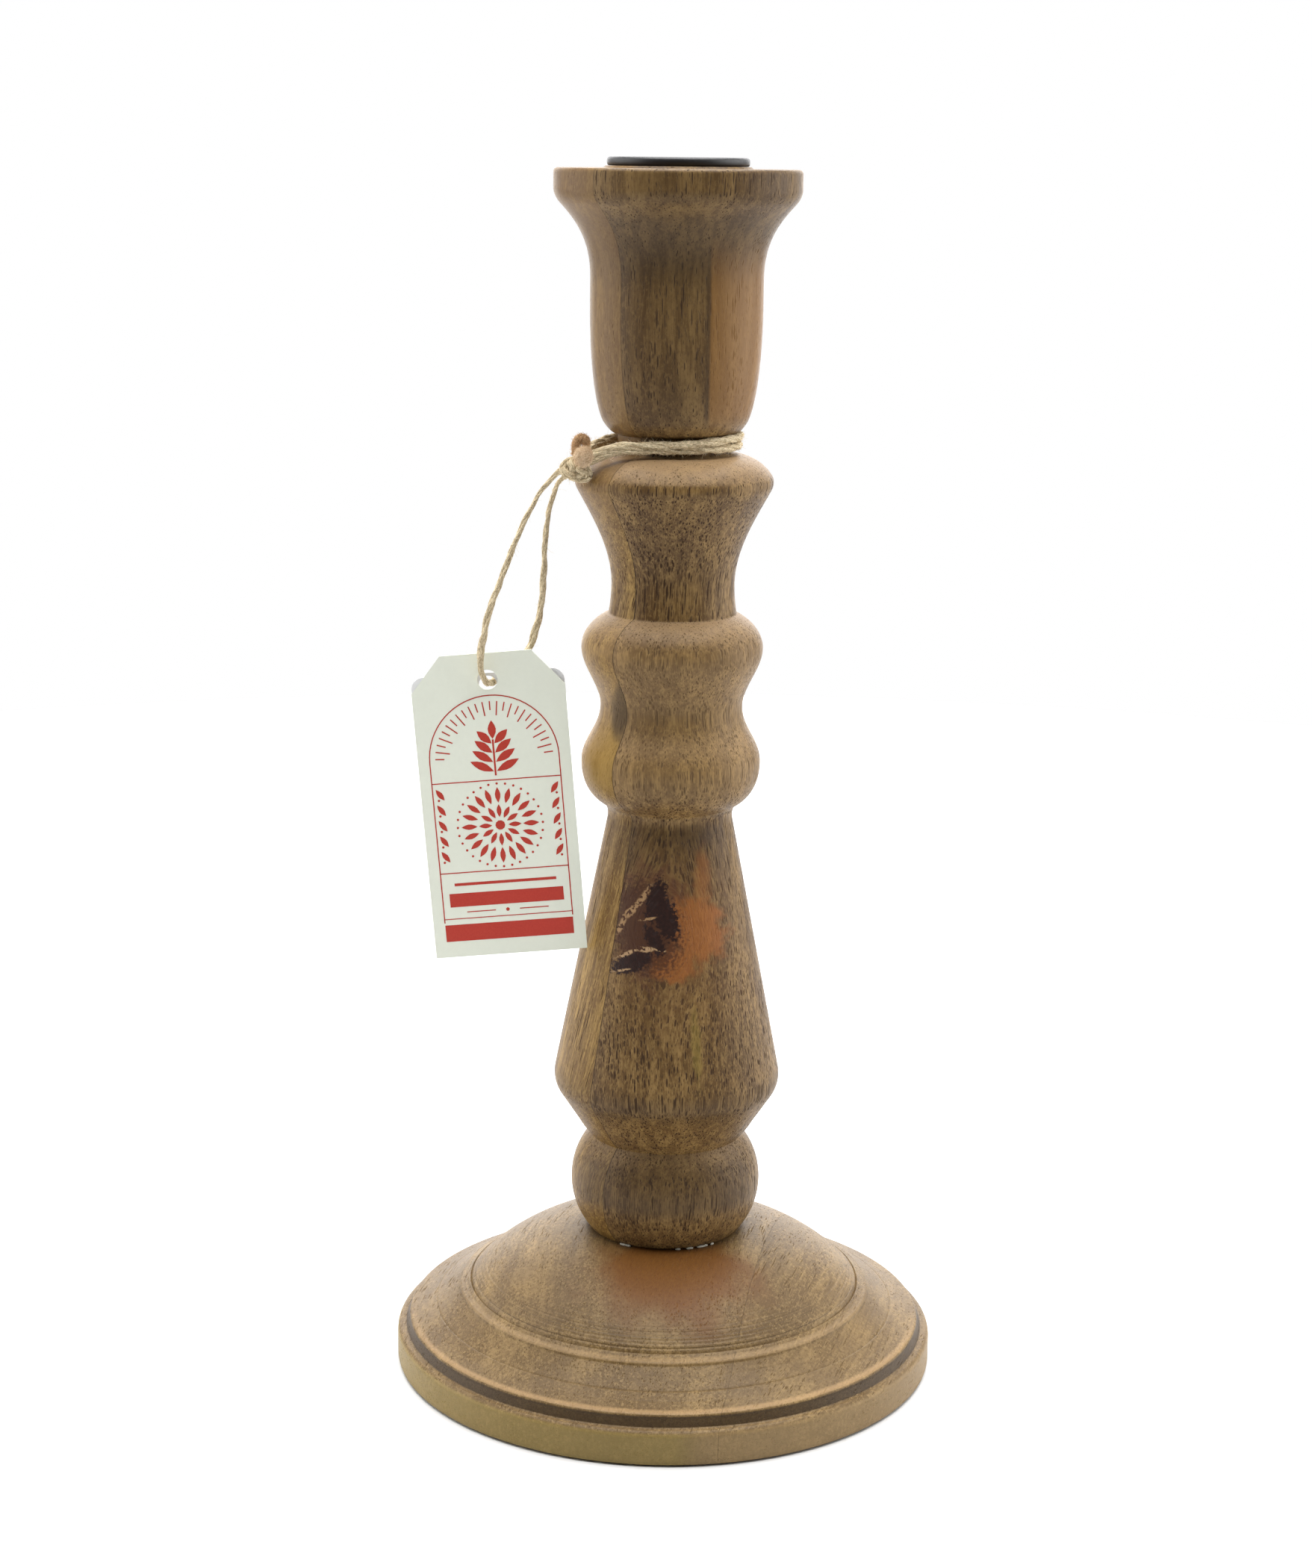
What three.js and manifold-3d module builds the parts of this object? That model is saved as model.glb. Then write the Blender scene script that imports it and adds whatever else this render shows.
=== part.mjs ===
// Turned wooden candlestick for one taper candle, 300 mm tall, with its paper swing tag.
// The stem is turned from two glued staves and the base from two glued boards. A screw from
// below holds them together, and a black metal cup in the top of the stem holds the candle.
// Millimetres, +Z up, origin at the middle of the face that it stands on. -Y is the front.
import * as THREE from 'three';
import { mergeVertices } from 'three/addons/utils/BufferGeometryUtils.js';
import Module from 'manifold-3d';

const wasm = await Module();
wasm.setup();

// ---------- Driving dimensions ----------
// Heights are measured up from the standing surface. A pair is [radius, height], and the
// pairs named for a hollow, a round or a flare are the ones that the outline bends towards.
const TOTAL_HEIGHT = 300;
const GAP = 0.3; // between pieces that touch
const GLUE_LINE = 0.3; // between glued halves

const BASE = {
  underside: 0.4, bottomRadius: 67.3, edge: 1.6, radius: 68, sideTop: 7.2, sideRound: [68, 8.4],
  bandTop: [66.9, 8.8], ledge: [65.8, 9.1], lipUnder: [65, 11], lipRound: [65, 11.8], lipTop: [64.1, 12.1],
  sweepHollow: [58, 14], beadFoot: [52.3, 18.4], beadRound: [52, 19.3], beadTop: [51.2, 19.4],
  grooveEdge: [49.5, 20.3], grooveBottom: [49.2, 20.05],
  domeRadius: 49, domeCentre: [14.4, -14.1], domeArc: [45.4, 83.2],
  seat: 34.5, seatRadius: 19.2,
};
const BASE_SEAM = { offset: 26.9, angle: -12.3 }; // the narrow board lies on +X
const STEM_SEAM = { offset: 2.7, angle: -46.8 }; // the joint runs through the front left

const MORTISE = { radius: 9.8, bottom: 12 };
const TENON = { radius: 9.5, bottom: 12.3 };
const COUNTERBORE = { radius: 8.6, top: 8.4 };
const FELT = { radius: 60, thickness: 1.3 };
const SCREW = {
  radius: 3, headAcrossCorners: 11.5, headBottom: 2.8, headTop: 6.5, pointStart: 37.9, tip: 43.9, hole: 45,
};
const WASHER = { radius: 8, bottom: 6.8, thickness: 1.3 };
const SCREW_HOLE_RADIUS = SCREW.radius + GAP;

const BUN = { bottom: BASE.seat + GAP, middle: 47.3, top: 59.6, radius: 23.8, curve: 18.75 };
const CONE = {
  foot: [19.6, 60.2], flare: [20.8, 61.2], flareEnd: [22.3, 63.8], lipUnder: [27, 70.9],
  lipRound: [28.6, 73.3], lipOver: [28.1, 76.6], top: [15.5, 140.6],
};
const LOWER_BEAD = {
  hollow: [14.9, 143.9], foot: [16.9, 145], round: [22, 148.2], middle: [22, 155.4],
  roundOver: [22, 160.4],
};
const COVE = { under: [17.4, 163.6], middle: [17.4, 169.2], over: [17.4, 174.2] };
const UPPER_BEAD = {
  round: [22.15, 178.6], middle: [22.15, 183.6], roundOver: [22.15, 187.2],
  shoulder: [19.2, 190.2], top: [16.2, 191.7],
};
const COLUMN = {
  hollow: [15.5, 191.9], foot: [15.5, 192.6], taper: [14.95, 196], waist: [14.95, 199],
  rise: [14.95, 207.5], flare: [19.6, 215],
};
const SHOULDER = {
  under: [23.35, 221.9], round: [24.6, 224.1], over: [23.35, 225.8],
  dome: [20.6, 229.9], foot: [14.6, 230.7],
};
const NECK = { radius: 13.7, hollow: 230.8, bottom: 231.8, top: 235.2 };
const SCONCE = {
  round: [15.6, 235.4], foot: [17.4, 238.4], rise: [19.3, 242.2], fill: [20.5, 252], full: [20.6, 264],
  coveStart: [20.6, 272], coveHollow: [20.6, 280], coveFlare: [23.4, 284.6],
};
const RIM = {
  under: [27.9, 289.3], round: [29.3, 290.9], side: [29.4, 292.6], radius: 29.4, top: 297.4, edge: 0.6,
};
const LAND = { top: 297.9, radius: 17.2, slope: 0.5 };

const CUP = {
  flangeRadius: 16.85, flangeBottom: 298.2, flangeMiddle: 299, flangeEdge: [0.5, 1],
  radius: 12, bore: 11.1, boreEdge: 0.8, bottom: 269.6, floor: 271,
};
const SOCKET = { radius: 13, bottom: CUP.bottom - GAP }; // a hole from a 26 mm drill

const TWINE = 1.8; // diameter of the jute twine where it is slack
const STRING = 1.5; // diameter where the tag pulls it tight
const KNOT = { centre: new THREE.Vector3(-23.2, -12.6, 228), size: [3.5, 3.2, 2.8] };
// The two turns of twine round the neck: the angle from the knot at which they leave the neck,
// and how much they have dropped at each share of the way from there to the knot.
const NECK_LOOP = {
  radius: 15.15, leave: 54, arcSteps: 12, way: [[0.52, 0.12], [0.7, 0.5], [0.79, 0.78]],
  upper: 234.4, upperDrop: 4.2, lower: 232.3, lowerDrop: 4.4,
};
const TWINE_ENDS = {
  upper: [[-22.4, -11.6, 231.9], [-22, -11.8, 236.1]],
  lower: [[-22.2, -16.4, 230.4], [-20.9, -18.3, 232.6]],
};

const TAG = {
  width: 37.3, height: 75.3, chamfer: [7.6, 8.9], thickness: 0.45, holeRadius: 2.5, holeDrop: 6.6,
  top: new THREE.Vector3(-45.1, -8.8, 183), lean: 5,
};
const CARD = {
  width: 37.1, height: 67, corner: 3, thickness: 0.45, holeRadius: 2.2, holeDrop: 2.9,
  drop: 5, back: -8,
};

// How finely the round shapes are faceted.
const STEM_SIDES = 28;
const BASE_SIDES = 44;
const METAL_SIDES = 24;
const SHANK_SIDES = 16;
const HEX_SIDES = 6;
const KNOT_SIDES = [14, 9];
const CURVE_STEPS = 3;
const TWINE_SIDES = 8;
const TWINE_STEPS = { neckLoop: 30, end: 2, string: 34 };

// ---------- Materials ----------
const paint = (color, roughness, metalness = 0) =>
  new THREE.MeshStandardMaterial({ color, roughness, metalness });
const OILED_WOOD = paint(0x8f7355, 0.55);
const AMBER_WOOD = paint(0x93693c, 0.55);
const BLACK_METAL = paint(0x16171a, 0.35, 0.6);
const ZINC = paint(0x9ea2a4, 0.35, 1);
const FELT_CLOTH = paint(0x2f3a2e, 0.95);
const JUTE = paint(0xa89878, 0.95);
const CUT_JUTE = paint(0xa8733f, 0.95);
const WHITE_CARD = paint(0xdfe3da, 0.8);

// ---------- Helpers ----------
const rad = THREE.MathUtils.degToRad;

function piece(name, geometry, material) {
  const mesh = new THREE.Mesh(geometry, material);
  mesh.name = name;
  return mesh;
}

// A solid of revolution about Z, from a path of (radius, height) points.
function turned(path, sides) {
  const geometry = new THREE.LatheGeometry(path.getPoints(CURVE_STEPS), sides);
  return geometry.rotateX(Math.PI / 2);
}

function disc(radius, bottom, height, sides) {
  const geometry = new THREE.CylinderGeometry(radius, radius, height, sides);
  return geometry.rotateX(Math.PI / 2).translate(0, 0, bottom + height / 2);
}

function toSolid(geometry) {
  const bare = geometry.clone();
  bare.deleteAttribute('normal');
  bare.deleteAttribute('uv');
  const merged = mergeVertices(bare, 1e-3);
  const corners = merged.index.array;
  const triangles = [];
  for (let i = 0; i < corners.length; i += 3) {
    const [a, b, c] = corners.slice(i, i + 3);
    if (a !== b && b !== c && c !== a) triangles.push(a, b, c);
  }
  return new wasm.Manifold(new wasm.Mesh({
    numProp: 3,
    vertProperties: new Float32Array(merged.attributes.position.array),
    triVerts: new Uint32Array(triangles),
  }));
}

function toGeometry(solid) {
  const mesh = solid.getMesh();
  const geometry = new THREE.BufferGeometry();
  geometry.setAttribute('position', new THREE.BufferAttribute(mesh.vertProperties, 3));
  geometry.setIndex(new THREE.BufferAttribute(mesh.triVerts, 1));
  geometry.computeVertexNormals();
  return geometry;
}

// The part of a geometry on one side of an upright seam plane: side is 1 or -1.
function oneSide(geometry, seam, side) {
  const reach = 400;
  const block = new THREE.BoxGeometry(reach, reach, 2 * reach);
  block.translate(side * (reach + GLUE_LINE) / 2 + seam.offset, 0, 0);
  block.rotateZ(rad(seam.angle));
  return toGeometry(toSolid(geometry).intersect(toSolid(block)));
}

function twineAlong(points, steps, diameter) {
  const section = new THREE.Shape();
  section.absarc(0, 0, diameter / 2, 0, 2 * Math.PI);
  const route = new THREE.CatmullRomCurve3(points, false, 'centripetal');
  return new THREE.ExtrudeGeometry(section, {
    steps, extrudePath: route, curveSegments: TWINE_SIDES / 2,
  });
}

// ---------- Base ----------
function baseProfile() {
  const path = new THREE.Path();
  path.moveTo(BASE.bottomRadius, BASE.underside);
  path.quadraticCurveTo(BASE.radius, BASE.underside, BASE.radius, BASE.edge);
  path.lineTo(BASE.radius, BASE.sideTop);
  path.quadraticCurveTo(...BASE.sideRound, ...BASE.bandTop);
  path.lineTo(...BASE.ledge);
  path.lineTo(...BASE.lipUnder);
  path.quadraticCurveTo(...BASE.lipRound, ...BASE.lipTop);
  path.quadraticCurveTo(...BASE.sweepHollow, ...BASE.beadFoot);
  path.quadraticCurveTo(...BASE.beadRound, ...BASE.beadTop);
  path.lineTo(...BASE.grooveEdge);
  path.lineTo(...BASE.grooveBottom);
  path.absarc(...BASE.domeCentre, BASE.domeRadius, ...BASE.domeArc.map(rad));
  path.lineTo(BASE.seatRadius, BASE.seat);
  path.lineTo(MORTISE.radius, BASE.seat);
  path.lineTo(MORTISE.radius, MORTISE.bottom);
  path.lineTo(SCREW_HOLE_RADIUS, MORTISE.bottom);
  path.lineTo(SCREW_HOLE_RADIUS, COUNTERBORE.top);
  path.lineTo(COUNTERBORE.radius, COUNTERBORE.top);
  path.lineTo(COUNTERBORE.radius, FELT.thickness + GAP);
  path.lineTo(FELT.radius + GAP, FELT.thickness + GAP);
  path.lineTo(FELT.radius + GAP, BASE.underside);
  path.lineTo(BASE.bottomRadius, BASE.underside);
  return path;
}

function baseBoards() {
  const whole = turned(baseProfile(), BASE_SIDES);
  return [
    piece('base_board_left', oneSide(whole, BASE_SEAM, -1), OILED_WOOD),
    piece('base_board_right', oneSide(whole, BASE_SEAM, 1), OILED_WOOD),
  ];
}

// ---------- Stem ----------
function tenonAndBun(path) {
  const low = Math.asin((BUN.middle - BUN.bottom) / BUN.curve);
  const high = Math.asin((BUN.top - BUN.middle) / BUN.curve);
  path.moveTo(0, SCREW.hole);
  path.lineTo(SCREW_HOLE_RADIUS, SCREW.hole);
  path.lineTo(SCREW_HOLE_RADIUS, TENON.bottom);
  path.lineTo(TENON.radius, TENON.bottom);
  path.lineTo(TENON.radius, BUN.bottom);
  path.absarc(BUN.radius - BUN.curve, BUN.middle, BUN.curve, -low, high);
}

function cone(path) {
  path.lineTo(...CONE.foot);
  path.quadraticCurveTo(...CONE.flare, ...CONE.flareEnd);
  path.lineTo(...CONE.lipUnder);
  path.quadraticCurveTo(...CONE.lipRound, ...CONE.lipOver);
  path.lineTo(...CONE.top);
}

function twoBeads(path) {
  path.quadraticCurveTo(...LOWER_BEAD.hollow, ...LOWER_BEAD.foot);
  path.quadraticCurveTo(...LOWER_BEAD.round, ...LOWER_BEAD.middle);
  path.bezierCurveTo(...LOWER_BEAD.roundOver, ...COVE.under, ...COVE.middle);
  path.bezierCurveTo(...COVE.over, ...UPPER_BEAD.round, ...UPPER_BEAD.middle);
  path.bezierCurveTo(...UPPER_BEAD.roundOver, ...UPPER_BEAD.shoulder, ...UPPER_BEAD.top);
}

function columnAndShoulder(path) {
  path.quadraticCurveTo(...COLUMN.hollow, ...COLUMN.foot);
  path.quadraticCurveTo(...COLUMN.taper, ...COLUMN.waist);
  path.bezierCurveTo(...COLUMN.rise, ...COLUMN.flare, ...SHOULDER.under);
  path.quadraticCurveTo(...SHOULDER.round, ...SHOULDER.over);
  path.quadraticCurveTo(...SHOULDER.dome, ...SHOULDER.foot);
}

function neckAndSconce(path) {
  path.quadraticCurveTo(NECK.radius, NECK.hollow, NECK.radius, NECK.bottom);
  path.lineTo(NECK.radius, NECK.top);
  path.quadraticCurveTo(...SCONCE.round, ...SCONCE.foot);
  path.bezierCurveTo(...SCONCE.rise, ...SCONCE.fill, ...SCONCE.full);
  path.lineTo(...SCONCE.coveStart);
  path.bezierCurveTo(...SCONCE.coveHollow, ...SCONCE.coveFlare, ...RIM.under);
}

function rimAndSocket(path) {
  path.quadraticCurveTo(...RIM.round, ...RIM.side);
  path.lineTo(RIM.radius, RIM.top - RIM.edge);
  path.quadraticCurveTo(RIM.radius, RIM.top, RIM.radius - RIM.edge, RIM.top);
  path.lineTo(LAND.radius + LAND.slope, RIM.top);
  path.lineTo(LAND.radius, LAND.top);
  path.lineTo(SOCKET.radius, LAND.top);
  path.lineTo(SOCKET.radius, SOCKET.bottom);
  path.lineTo(0, SOCKET.bottom);
}

function stemStaves() {
  const path = new THREE.Path();
  tenonAndBun(path);
  cone(path);
  twoBeads(path);
  columnAndShoulder(path);
  neckAndSconce(path);
  rimAndSocket(path);
  const whole = turned(path, STEM_SIDES);
  return [
    piece('stem_stave_left', oneSide(whole, STEM_SEAM, -1), AMBER_WOOD),
    piece('stem_stave_right', oneSide(whole, STEM_SEAM, 1), OILED_WOOD),
  ];
}

// ---------- Metal and felt ----------
function candleCup() {
  const [under, over] = CUP.flangeEdge;
  const path = new THREE.Path();
  path.moveTo(0, CUP.bottom);
  path.lineTo(CUP.radius, CUP.bottom);
  path.lineTo(CUP.radius, CUP.flangeBottom);
  path.lineTo(CUP.flangeRadius - under, CUP.flangeBottom);
  path.quadraticCurveTo(CUP.flangeRadius, CUP.flangeBottom, CUP.flangeRadius, CUP.flangeMiddle);
  path.quadraticCurveTo(CUP.flangeRadius, TOTAL_HEIGHT, CUP.flangeRadius - over, TOTAL_HEIGHT);
  path.lineTo(CUP.bore + CUP.boreEdge, TOTAL_HEIGHT);
  path.quadraticCurveTo(CUP.bore, TOTAL_HEIGHT, CUP.bore, TOTAL_HEIGHT - CUP.boreEdge);
  path.lineTo(CUP.bore, CUP.floor);
  path.lineTo(0, CUP.floor);
  return piece('candle_cup', turned(path, METAL_SIDES), BLACK_METAL);
}

function baseScrew() {
  const sunk = 0.1; // how far the shank reaches into the head, so that the two join
  const path = new THREE.Path();
  path.moveTo(0, SCREW.headTop - sunk);
  path.lineTo(SCREW.radius, SCREW.headTop - sunk);
  path.lineTo(SCREW.radius, SCREW.pointStart);
  path.lineTo(0, SCREW.tip);
  const shank = turned(path, SHANK_SIDES);
  const headHeight = SCREW.headTop - SCREW.headBottom;
  const head = disc(SCREW.headAcrossCorners / 2, SCREW.headBottom, headHeight, HEX_SIDES);
  return piece('base_screw', toGeometry(toSolid(head).add(toSolid(shank))), ZINC);
}

function screwWasher() {
  const ring = disc(WASHER.radius, WASHER.bottom, WASHER.thickness, METAL_SIDES);
  const hole = disc(SCREW_HOLE_RADIUS, WASHER.bottom - 1, WASHER.thickness + 2, METAL_SIDES);
  return piece('screw_washer', toGeometry(toSolid(ring).subtract(toSolid(hole))), ZINC);
}

function baseFelt() {
  return piece('base_felt', disc(FELT.radius, 0, FELT.thickness, BASE_SIDES), FELT_CLOTH);
}

// ---------- Twine ----------
// One turn of twine round the neck. It leaves the knot, runs straight to the neck, goes
// round the back of it and comes straight back to the knot.
function neckLoop(name, height, drop) {
  const facing = Math.atan2(KNOT.centre.y, KNOT.centre.x);
  const leave = rad(NECK_LOOP.leave);
  const onNeck = (angle) => new THREE.Vector3(
    NECK_LOOP.radius * Math.cos(angle), NECK_LOOP.radius * Math.sin(angle), height);
  const toKnot = (angle) => NECK_LOOP.way.map(
    ([reach, fall]) => onNeck(angle).lerp(KNOT.centre, reach).setZ(height - fall * drop));
  const arc = [];
  for (let i = 0; i <= NECK_LOOP.arcSteps; i += 1) {
    arc.push(onNeck(facing + leave + 2 * (Math.PI - leave) * (i / NECK_LOOP.arcSteps)));
  }
  const points = [...toKnot(facing + leave).reverse(), ...arc, ...toKnot(facing - leave)];
  return piece(name, twineAlong(points, TWINE_STEPS.neckLoop, TWINE), JUTE);
}

function twineKnot() {
  const geometry = new THREE.SphereGeometry(1, ...KNOT_SIDES).rotateX(Math.PI / 2);
  const knot = piece('twine_knot', geometry.scale(...KNOT.size), JUTE);
  knot.position.copy(KNOT.centre);
  return knot;
}

function twineEnd(name, ends) {
  const points = ends.map((place) => new THREE.Vector3(...place));
  return piece(name, twineAlong(points, TWINE_STEPS.end, TWINE), CUT_JUTE);
}

// The free stretch: from the knot down to the tag, through its hole from the front, and
// back up behind it to the knot.
function tagString() {
  const route = [
    [-27.1, -11.5, 227.6], [-31.4, -10.2, 222.6], [-34, -10.5, 218.1], [-36.1, -10.8, 214],
    [-38, -11, 209.3], [-39.8, -11.2, 204.7], [-41.4, -11.4, 200.4], [-43, -11.6, 196.2],
    [-44.5, -11.9, 191.2], [-45.6, -12.2, 185.8], [-46, -12.1, 181.5], [-45.7, -11.7, 178.6],
    [-44.9, -10.6, 176.4], [-43.9, -8.6, 175.4], [-42.8, -6.6, 176.1], [-41.2, -5.4, 178.3],
    [-38.6, -5, 180.6], [-35.6, -5.1, 182.5], [-34.1, -5.2, 184.6], [-33.4, -5.4, 187.2],
    [-32.3, -5.7, 191], [-31.6, -6, 195], [-31.3, -6.3, 199.5], [-31, -6.6, 204], [-30.8, -7, 208.6],
    [-30.5, -7.3, 213.2], [-29.8, -7.6, 217.6], [-28.7, -8, 221.4], [-27.3, -9.6, 224.6],
    [-26, -10.8, 226],
  ];
  const points = route.map((place) => new THREE.Vector3(...place));
  return piece('tag_string', twineAlong(points, TWINE_STEPS.string, STRING), JUTE);
}

// ---------- Tag ----------
function flatCard(outline, holeRadius, holeDrop, thickness) {
  const hole = new THREE.Path();
  hole.absarc(0, -holeDrop, holeRadius, 0, 2 * Math.PI, true);
  outline.holes.push(hole);
  const card = new THREE.ExtrudeGeometry(outline, {
    depth: thickness, bevelEnabled: false, curveSegments: 8,
  });
  return card.rotateX(Math.PI / 2);
}

function swingTag() {
  const half = TAG.width / 2;
  const [across, down] = TAG.chamfer;
  const outline = new THREE.Shape();
  outline.moveTo(half - across, 0);
  outline.lineTo(across - half, 0);
  outline.lineTo(-half, -down);
  outline.lineTo(-half, -TAG.height);
  outline.lineTo(half, -TAG.height);
  outline.lineTo(half, -down);
  outline.closePath();
  const card = flatCard(outline, TAG.holeRadius, TAG.holeDrop, TAG.thickness);
  return piece('swing_tag', card, WHITE_CARD);
}

function backingCard() {
  const half = CARD.width / 2;
  const round = CARD.corner;
  const foot = -CARD.height;
  const outline = new THREE.Shape();
  outline.absarc(half - round, -round, round, 0, rad(90));
  outline.absarc(round - half, -round, round, rad(90), rad(180));
  outline.absarc(round - half, foot + round, round, rad(180), rad(270));
  outline.absarc(half - round, foot + round, round, rad(270), rad(360));
  const card = flatCard(outline, CARD.holeRadius, CARD.holeDrop, CARD.thickness);
  const mesh = piece('backing_card', card, WHITE_CARD);
  mesh.position.set(0, CARD.back - TAG.top.y, -CARD.drop);
  return mesh;
}

function hangingTags() {
  const tags = new THREE.Group();
  tags.position.copy(TAG.top);
  tags.rotation.y = -rad(TAG.lean);
  tags.add(swingTag(), backingCard());
  return tags;
}

// ---------- Assembly ----------
const candlestick = new THREE.Group();
candlestick.add(...baseBoards(), ...stemStaves(), candleCup());
candlestick.add(baseScrew(), screwWasher(), baseFelt());
candlestick.add(
  neckLoop('neck_twine_upper', NECK_LOOP.upper, NECK_LOOP.upperDrop),
  neckLoop('neck_twine_lower', NECK_LOOP.lower, NECK_LOOP.lowerDrop),
  twineKnot(),
  twineEnd('twine_end_upper', TWINE_ENDS.upper),
  twineEnd('twine_end_lower', TWINE_ENDS.lower),
  tagString(),
  hangingTags(),
);

export default candlestick;
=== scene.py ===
# Looks of the turned wooden candlestick with its paper swing tag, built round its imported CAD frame.
# Lengths in the tables are millimetres and are turned into metres where a mesh is made.
import random
from math import asin, atan2, cos, degrees, dist, exp, pi, radians, sin, sqrt

import bmesh
import bpy
import numpy as np
from mathutils import Euler, Matrix, Vector


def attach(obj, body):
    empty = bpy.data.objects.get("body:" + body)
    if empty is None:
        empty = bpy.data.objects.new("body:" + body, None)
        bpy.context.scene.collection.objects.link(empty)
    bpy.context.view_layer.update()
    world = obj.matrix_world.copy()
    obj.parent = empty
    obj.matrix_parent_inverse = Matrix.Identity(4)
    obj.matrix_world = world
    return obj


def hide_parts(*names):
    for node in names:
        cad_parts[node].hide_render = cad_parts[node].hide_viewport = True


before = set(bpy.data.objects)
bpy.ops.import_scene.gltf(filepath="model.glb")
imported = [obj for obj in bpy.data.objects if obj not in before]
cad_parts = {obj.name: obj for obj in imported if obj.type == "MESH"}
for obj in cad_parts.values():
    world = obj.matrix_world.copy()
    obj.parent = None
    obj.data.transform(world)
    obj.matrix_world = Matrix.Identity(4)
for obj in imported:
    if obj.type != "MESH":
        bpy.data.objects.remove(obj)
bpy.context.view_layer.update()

MM = 0.001
TOTAL_HEIGHT = 300

CAMERA = {"x": -3.52, "distance": 671.8, "height": 300, "pitch": 12.66, "roll": 0.7, "lens": 64.1}

BASE_SEAM = {"offset": 26.9, "angle": -12.3, "darkness": 0.12}
STEM_SEAM = {"offset": 2.7, "angle": -46.8, "darkness": 0.75}
SEAM_GAP = 0.04

BUN = {"bottom": 34.8, "middle": 47.3, "top": 59.6, "radius": 23.8, "curve": 18.75}
CUP = {
    "flange": 16.85, "under": 297.95, "radius": 12, "bore": 11.1, "bottom": 269.6, "floor": 271,
    "edge": 0.8,
}
SOCKET = {"radius": 13, "bottom": 269.3}
FELT = {"radius": 60, "thickness": 1.3}

TWINE = 1.8
STRING = 1.5
STRING_WIDTHS = ((225, 1.1), (190, 1.7))  # heights and how thick the string is there
PLIES = 3
PLY_SIDES = 12
TWIST = 19  # how far along the twine one ply goes once round it
STRAND_STEP = 0.35
FIBRE = 0.55  # mean length of a stray fibre, beyond its shortest
HAIR_MARK = (3, 3)  # stands where a strand's own points have a cosine and a sine
KNOT = (-23.2, -12.6, 228)
NECK_LOOP = {
    "radius": 15.2, "upper_out": 0.4, "height": 233.35, "apart": 0.62, "spread": 0.03, "tilt": 0.035,
    "leave": 54,
}
TAG_STRING = [
    (-27.1, -11.5, 227.6), (-31.4, -10.2, 222.6), (-34, -10.5, 218.1), (-36.1, -10.8, 214),
    (-38, -11, 209.3), (-39.8, -11.2, 204.7), (-41.4, -11.4, 200.4), (-43, -11.6, 196.2),
    (-44.5, -11.9, 191.2), (-45.6, -12.2, 185.8), (-46, -12.1, 181.5), (-45.7, -11.7, 178.6),
    (-44.9, -10.6, 176.4), (-43.9, -8.6, 175.4), (-42.8, -6.6, 176.1), (-41.2, -5.4, 178.3),
    (-38.6, -5, 180.6), (-35.6, -5.1, 182.5), (-34.1, -5.2, 184.6), (-33.4, -5.4, 187.2),
    (-32.3, -5.7, 191), (-31.6, -6, 195), (-31.3, -6.3, 199.5), (-31, -6.6, 204), (-30.8, -7, 208.6),
    (-30.5, -7.3, 213.2), (-29.8, -7.6, 217.6), (-28.7, -8, 221.4), (-27.3, -9.6, 224.6),
    (-26, -10.8, 226),
]
CUT_END_UPPER = [
    (-23.3, -12, 231.2), (-23.3, -11.8, 233.4), (-22.6, -11.8, 235), (-21.4, -11.9, 234.9),
    (-20.9, -12.2, 233.6), (-21.3, -12.6, 232.4),
]
CUT_END_LOWER = [(-21.9, -15.6, 229.4), (-21.6, -16.6, 230.9), (-21.2, -17.5, 232.2), (-21, -18.1, 233.1)]
TUFT_SIDES = 18
TAG = {"top": (-45.1, -8.8, 183), "lean": 5, "thickness": 0.45}

scene = bpy.context.scene


# ---------- Meshes ----------
def add_object(name, data):
    thing = bpy.data.objects.new(name, data)
    scene.collection.objects.link(thing)
    return thing


def smooth(mesh, below=180):
    """Makes edges that are bent less than `below` degrees look smooth."""
    mesh.shade_smooth()
    if below < 180:
        mesh.set_sharp_from_angle(angle=radians(below))


def make_mesh(name, points, faces):
    """An object from points in millimetres."""
    mesh = bpy.data.meshes.new(name)
    mesh.from_pydata((np.asarray(points, float) * MM).tolist(), [], faces)
    return add_object(name, mesh)


def cover(piece, material):
    piece.data.materials.clear()
    piece.data.materials.append(material)


def dress(piece, body, slot, material, *nodes):
    cover(piece, material)
    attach(piece, body)
    if nodes:
        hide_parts(*nodes)
    return piece


class Outline:
    """The outline of a turned piece: (radius, height) points, sampled every `step` millimetres."""

    def __init__(self, radius, height, step=0.5):
        self.points = [(radius, height)]
        self.step = step

    def sample(self, place, length):
        count = max(1, round(length / self.step))
        self.points += [place(i / count) for i in range(1, count + 1)]
        return self

    def line(self, *end):
        start = self.points[-1]
        length = dist(start, end)
        return self.sample(lambda t: tuple(a + (b - a) * t for a, b in zip(start, end)), length)

    def curve(self, *controls, shortest=0):
        """A Bezier curve. The last of the controls is its end."""
        corners = [self.points[-1], *controls]
        length = sum(dist(a, b) for a, b in zip(corners, corners[1:]))

        def place(t):
            level = corners
            while len(level) > 1:
                level = [tuple(p + (q - p) * t for p, q in zip(a, b)) for a, b in zip(level, level[1:])]
            return level[0]
        return self.sample(place, max(length, shortest))

    def bend(self, control, end):
        return self.curve(control, end, shortest=6 * self.step)

    def arc(self, centre, radius, start, end):
        self.line(centre[0] + radius * cos(start), centre[1] + radius * sin(start))

        def place(t):
            angle = start + (end - start) * t
            return centre[0] + radius * cos(angle), centre[1] + radius * sin(angle)
        return self.sample(place, radius * abs(end - start))


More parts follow.
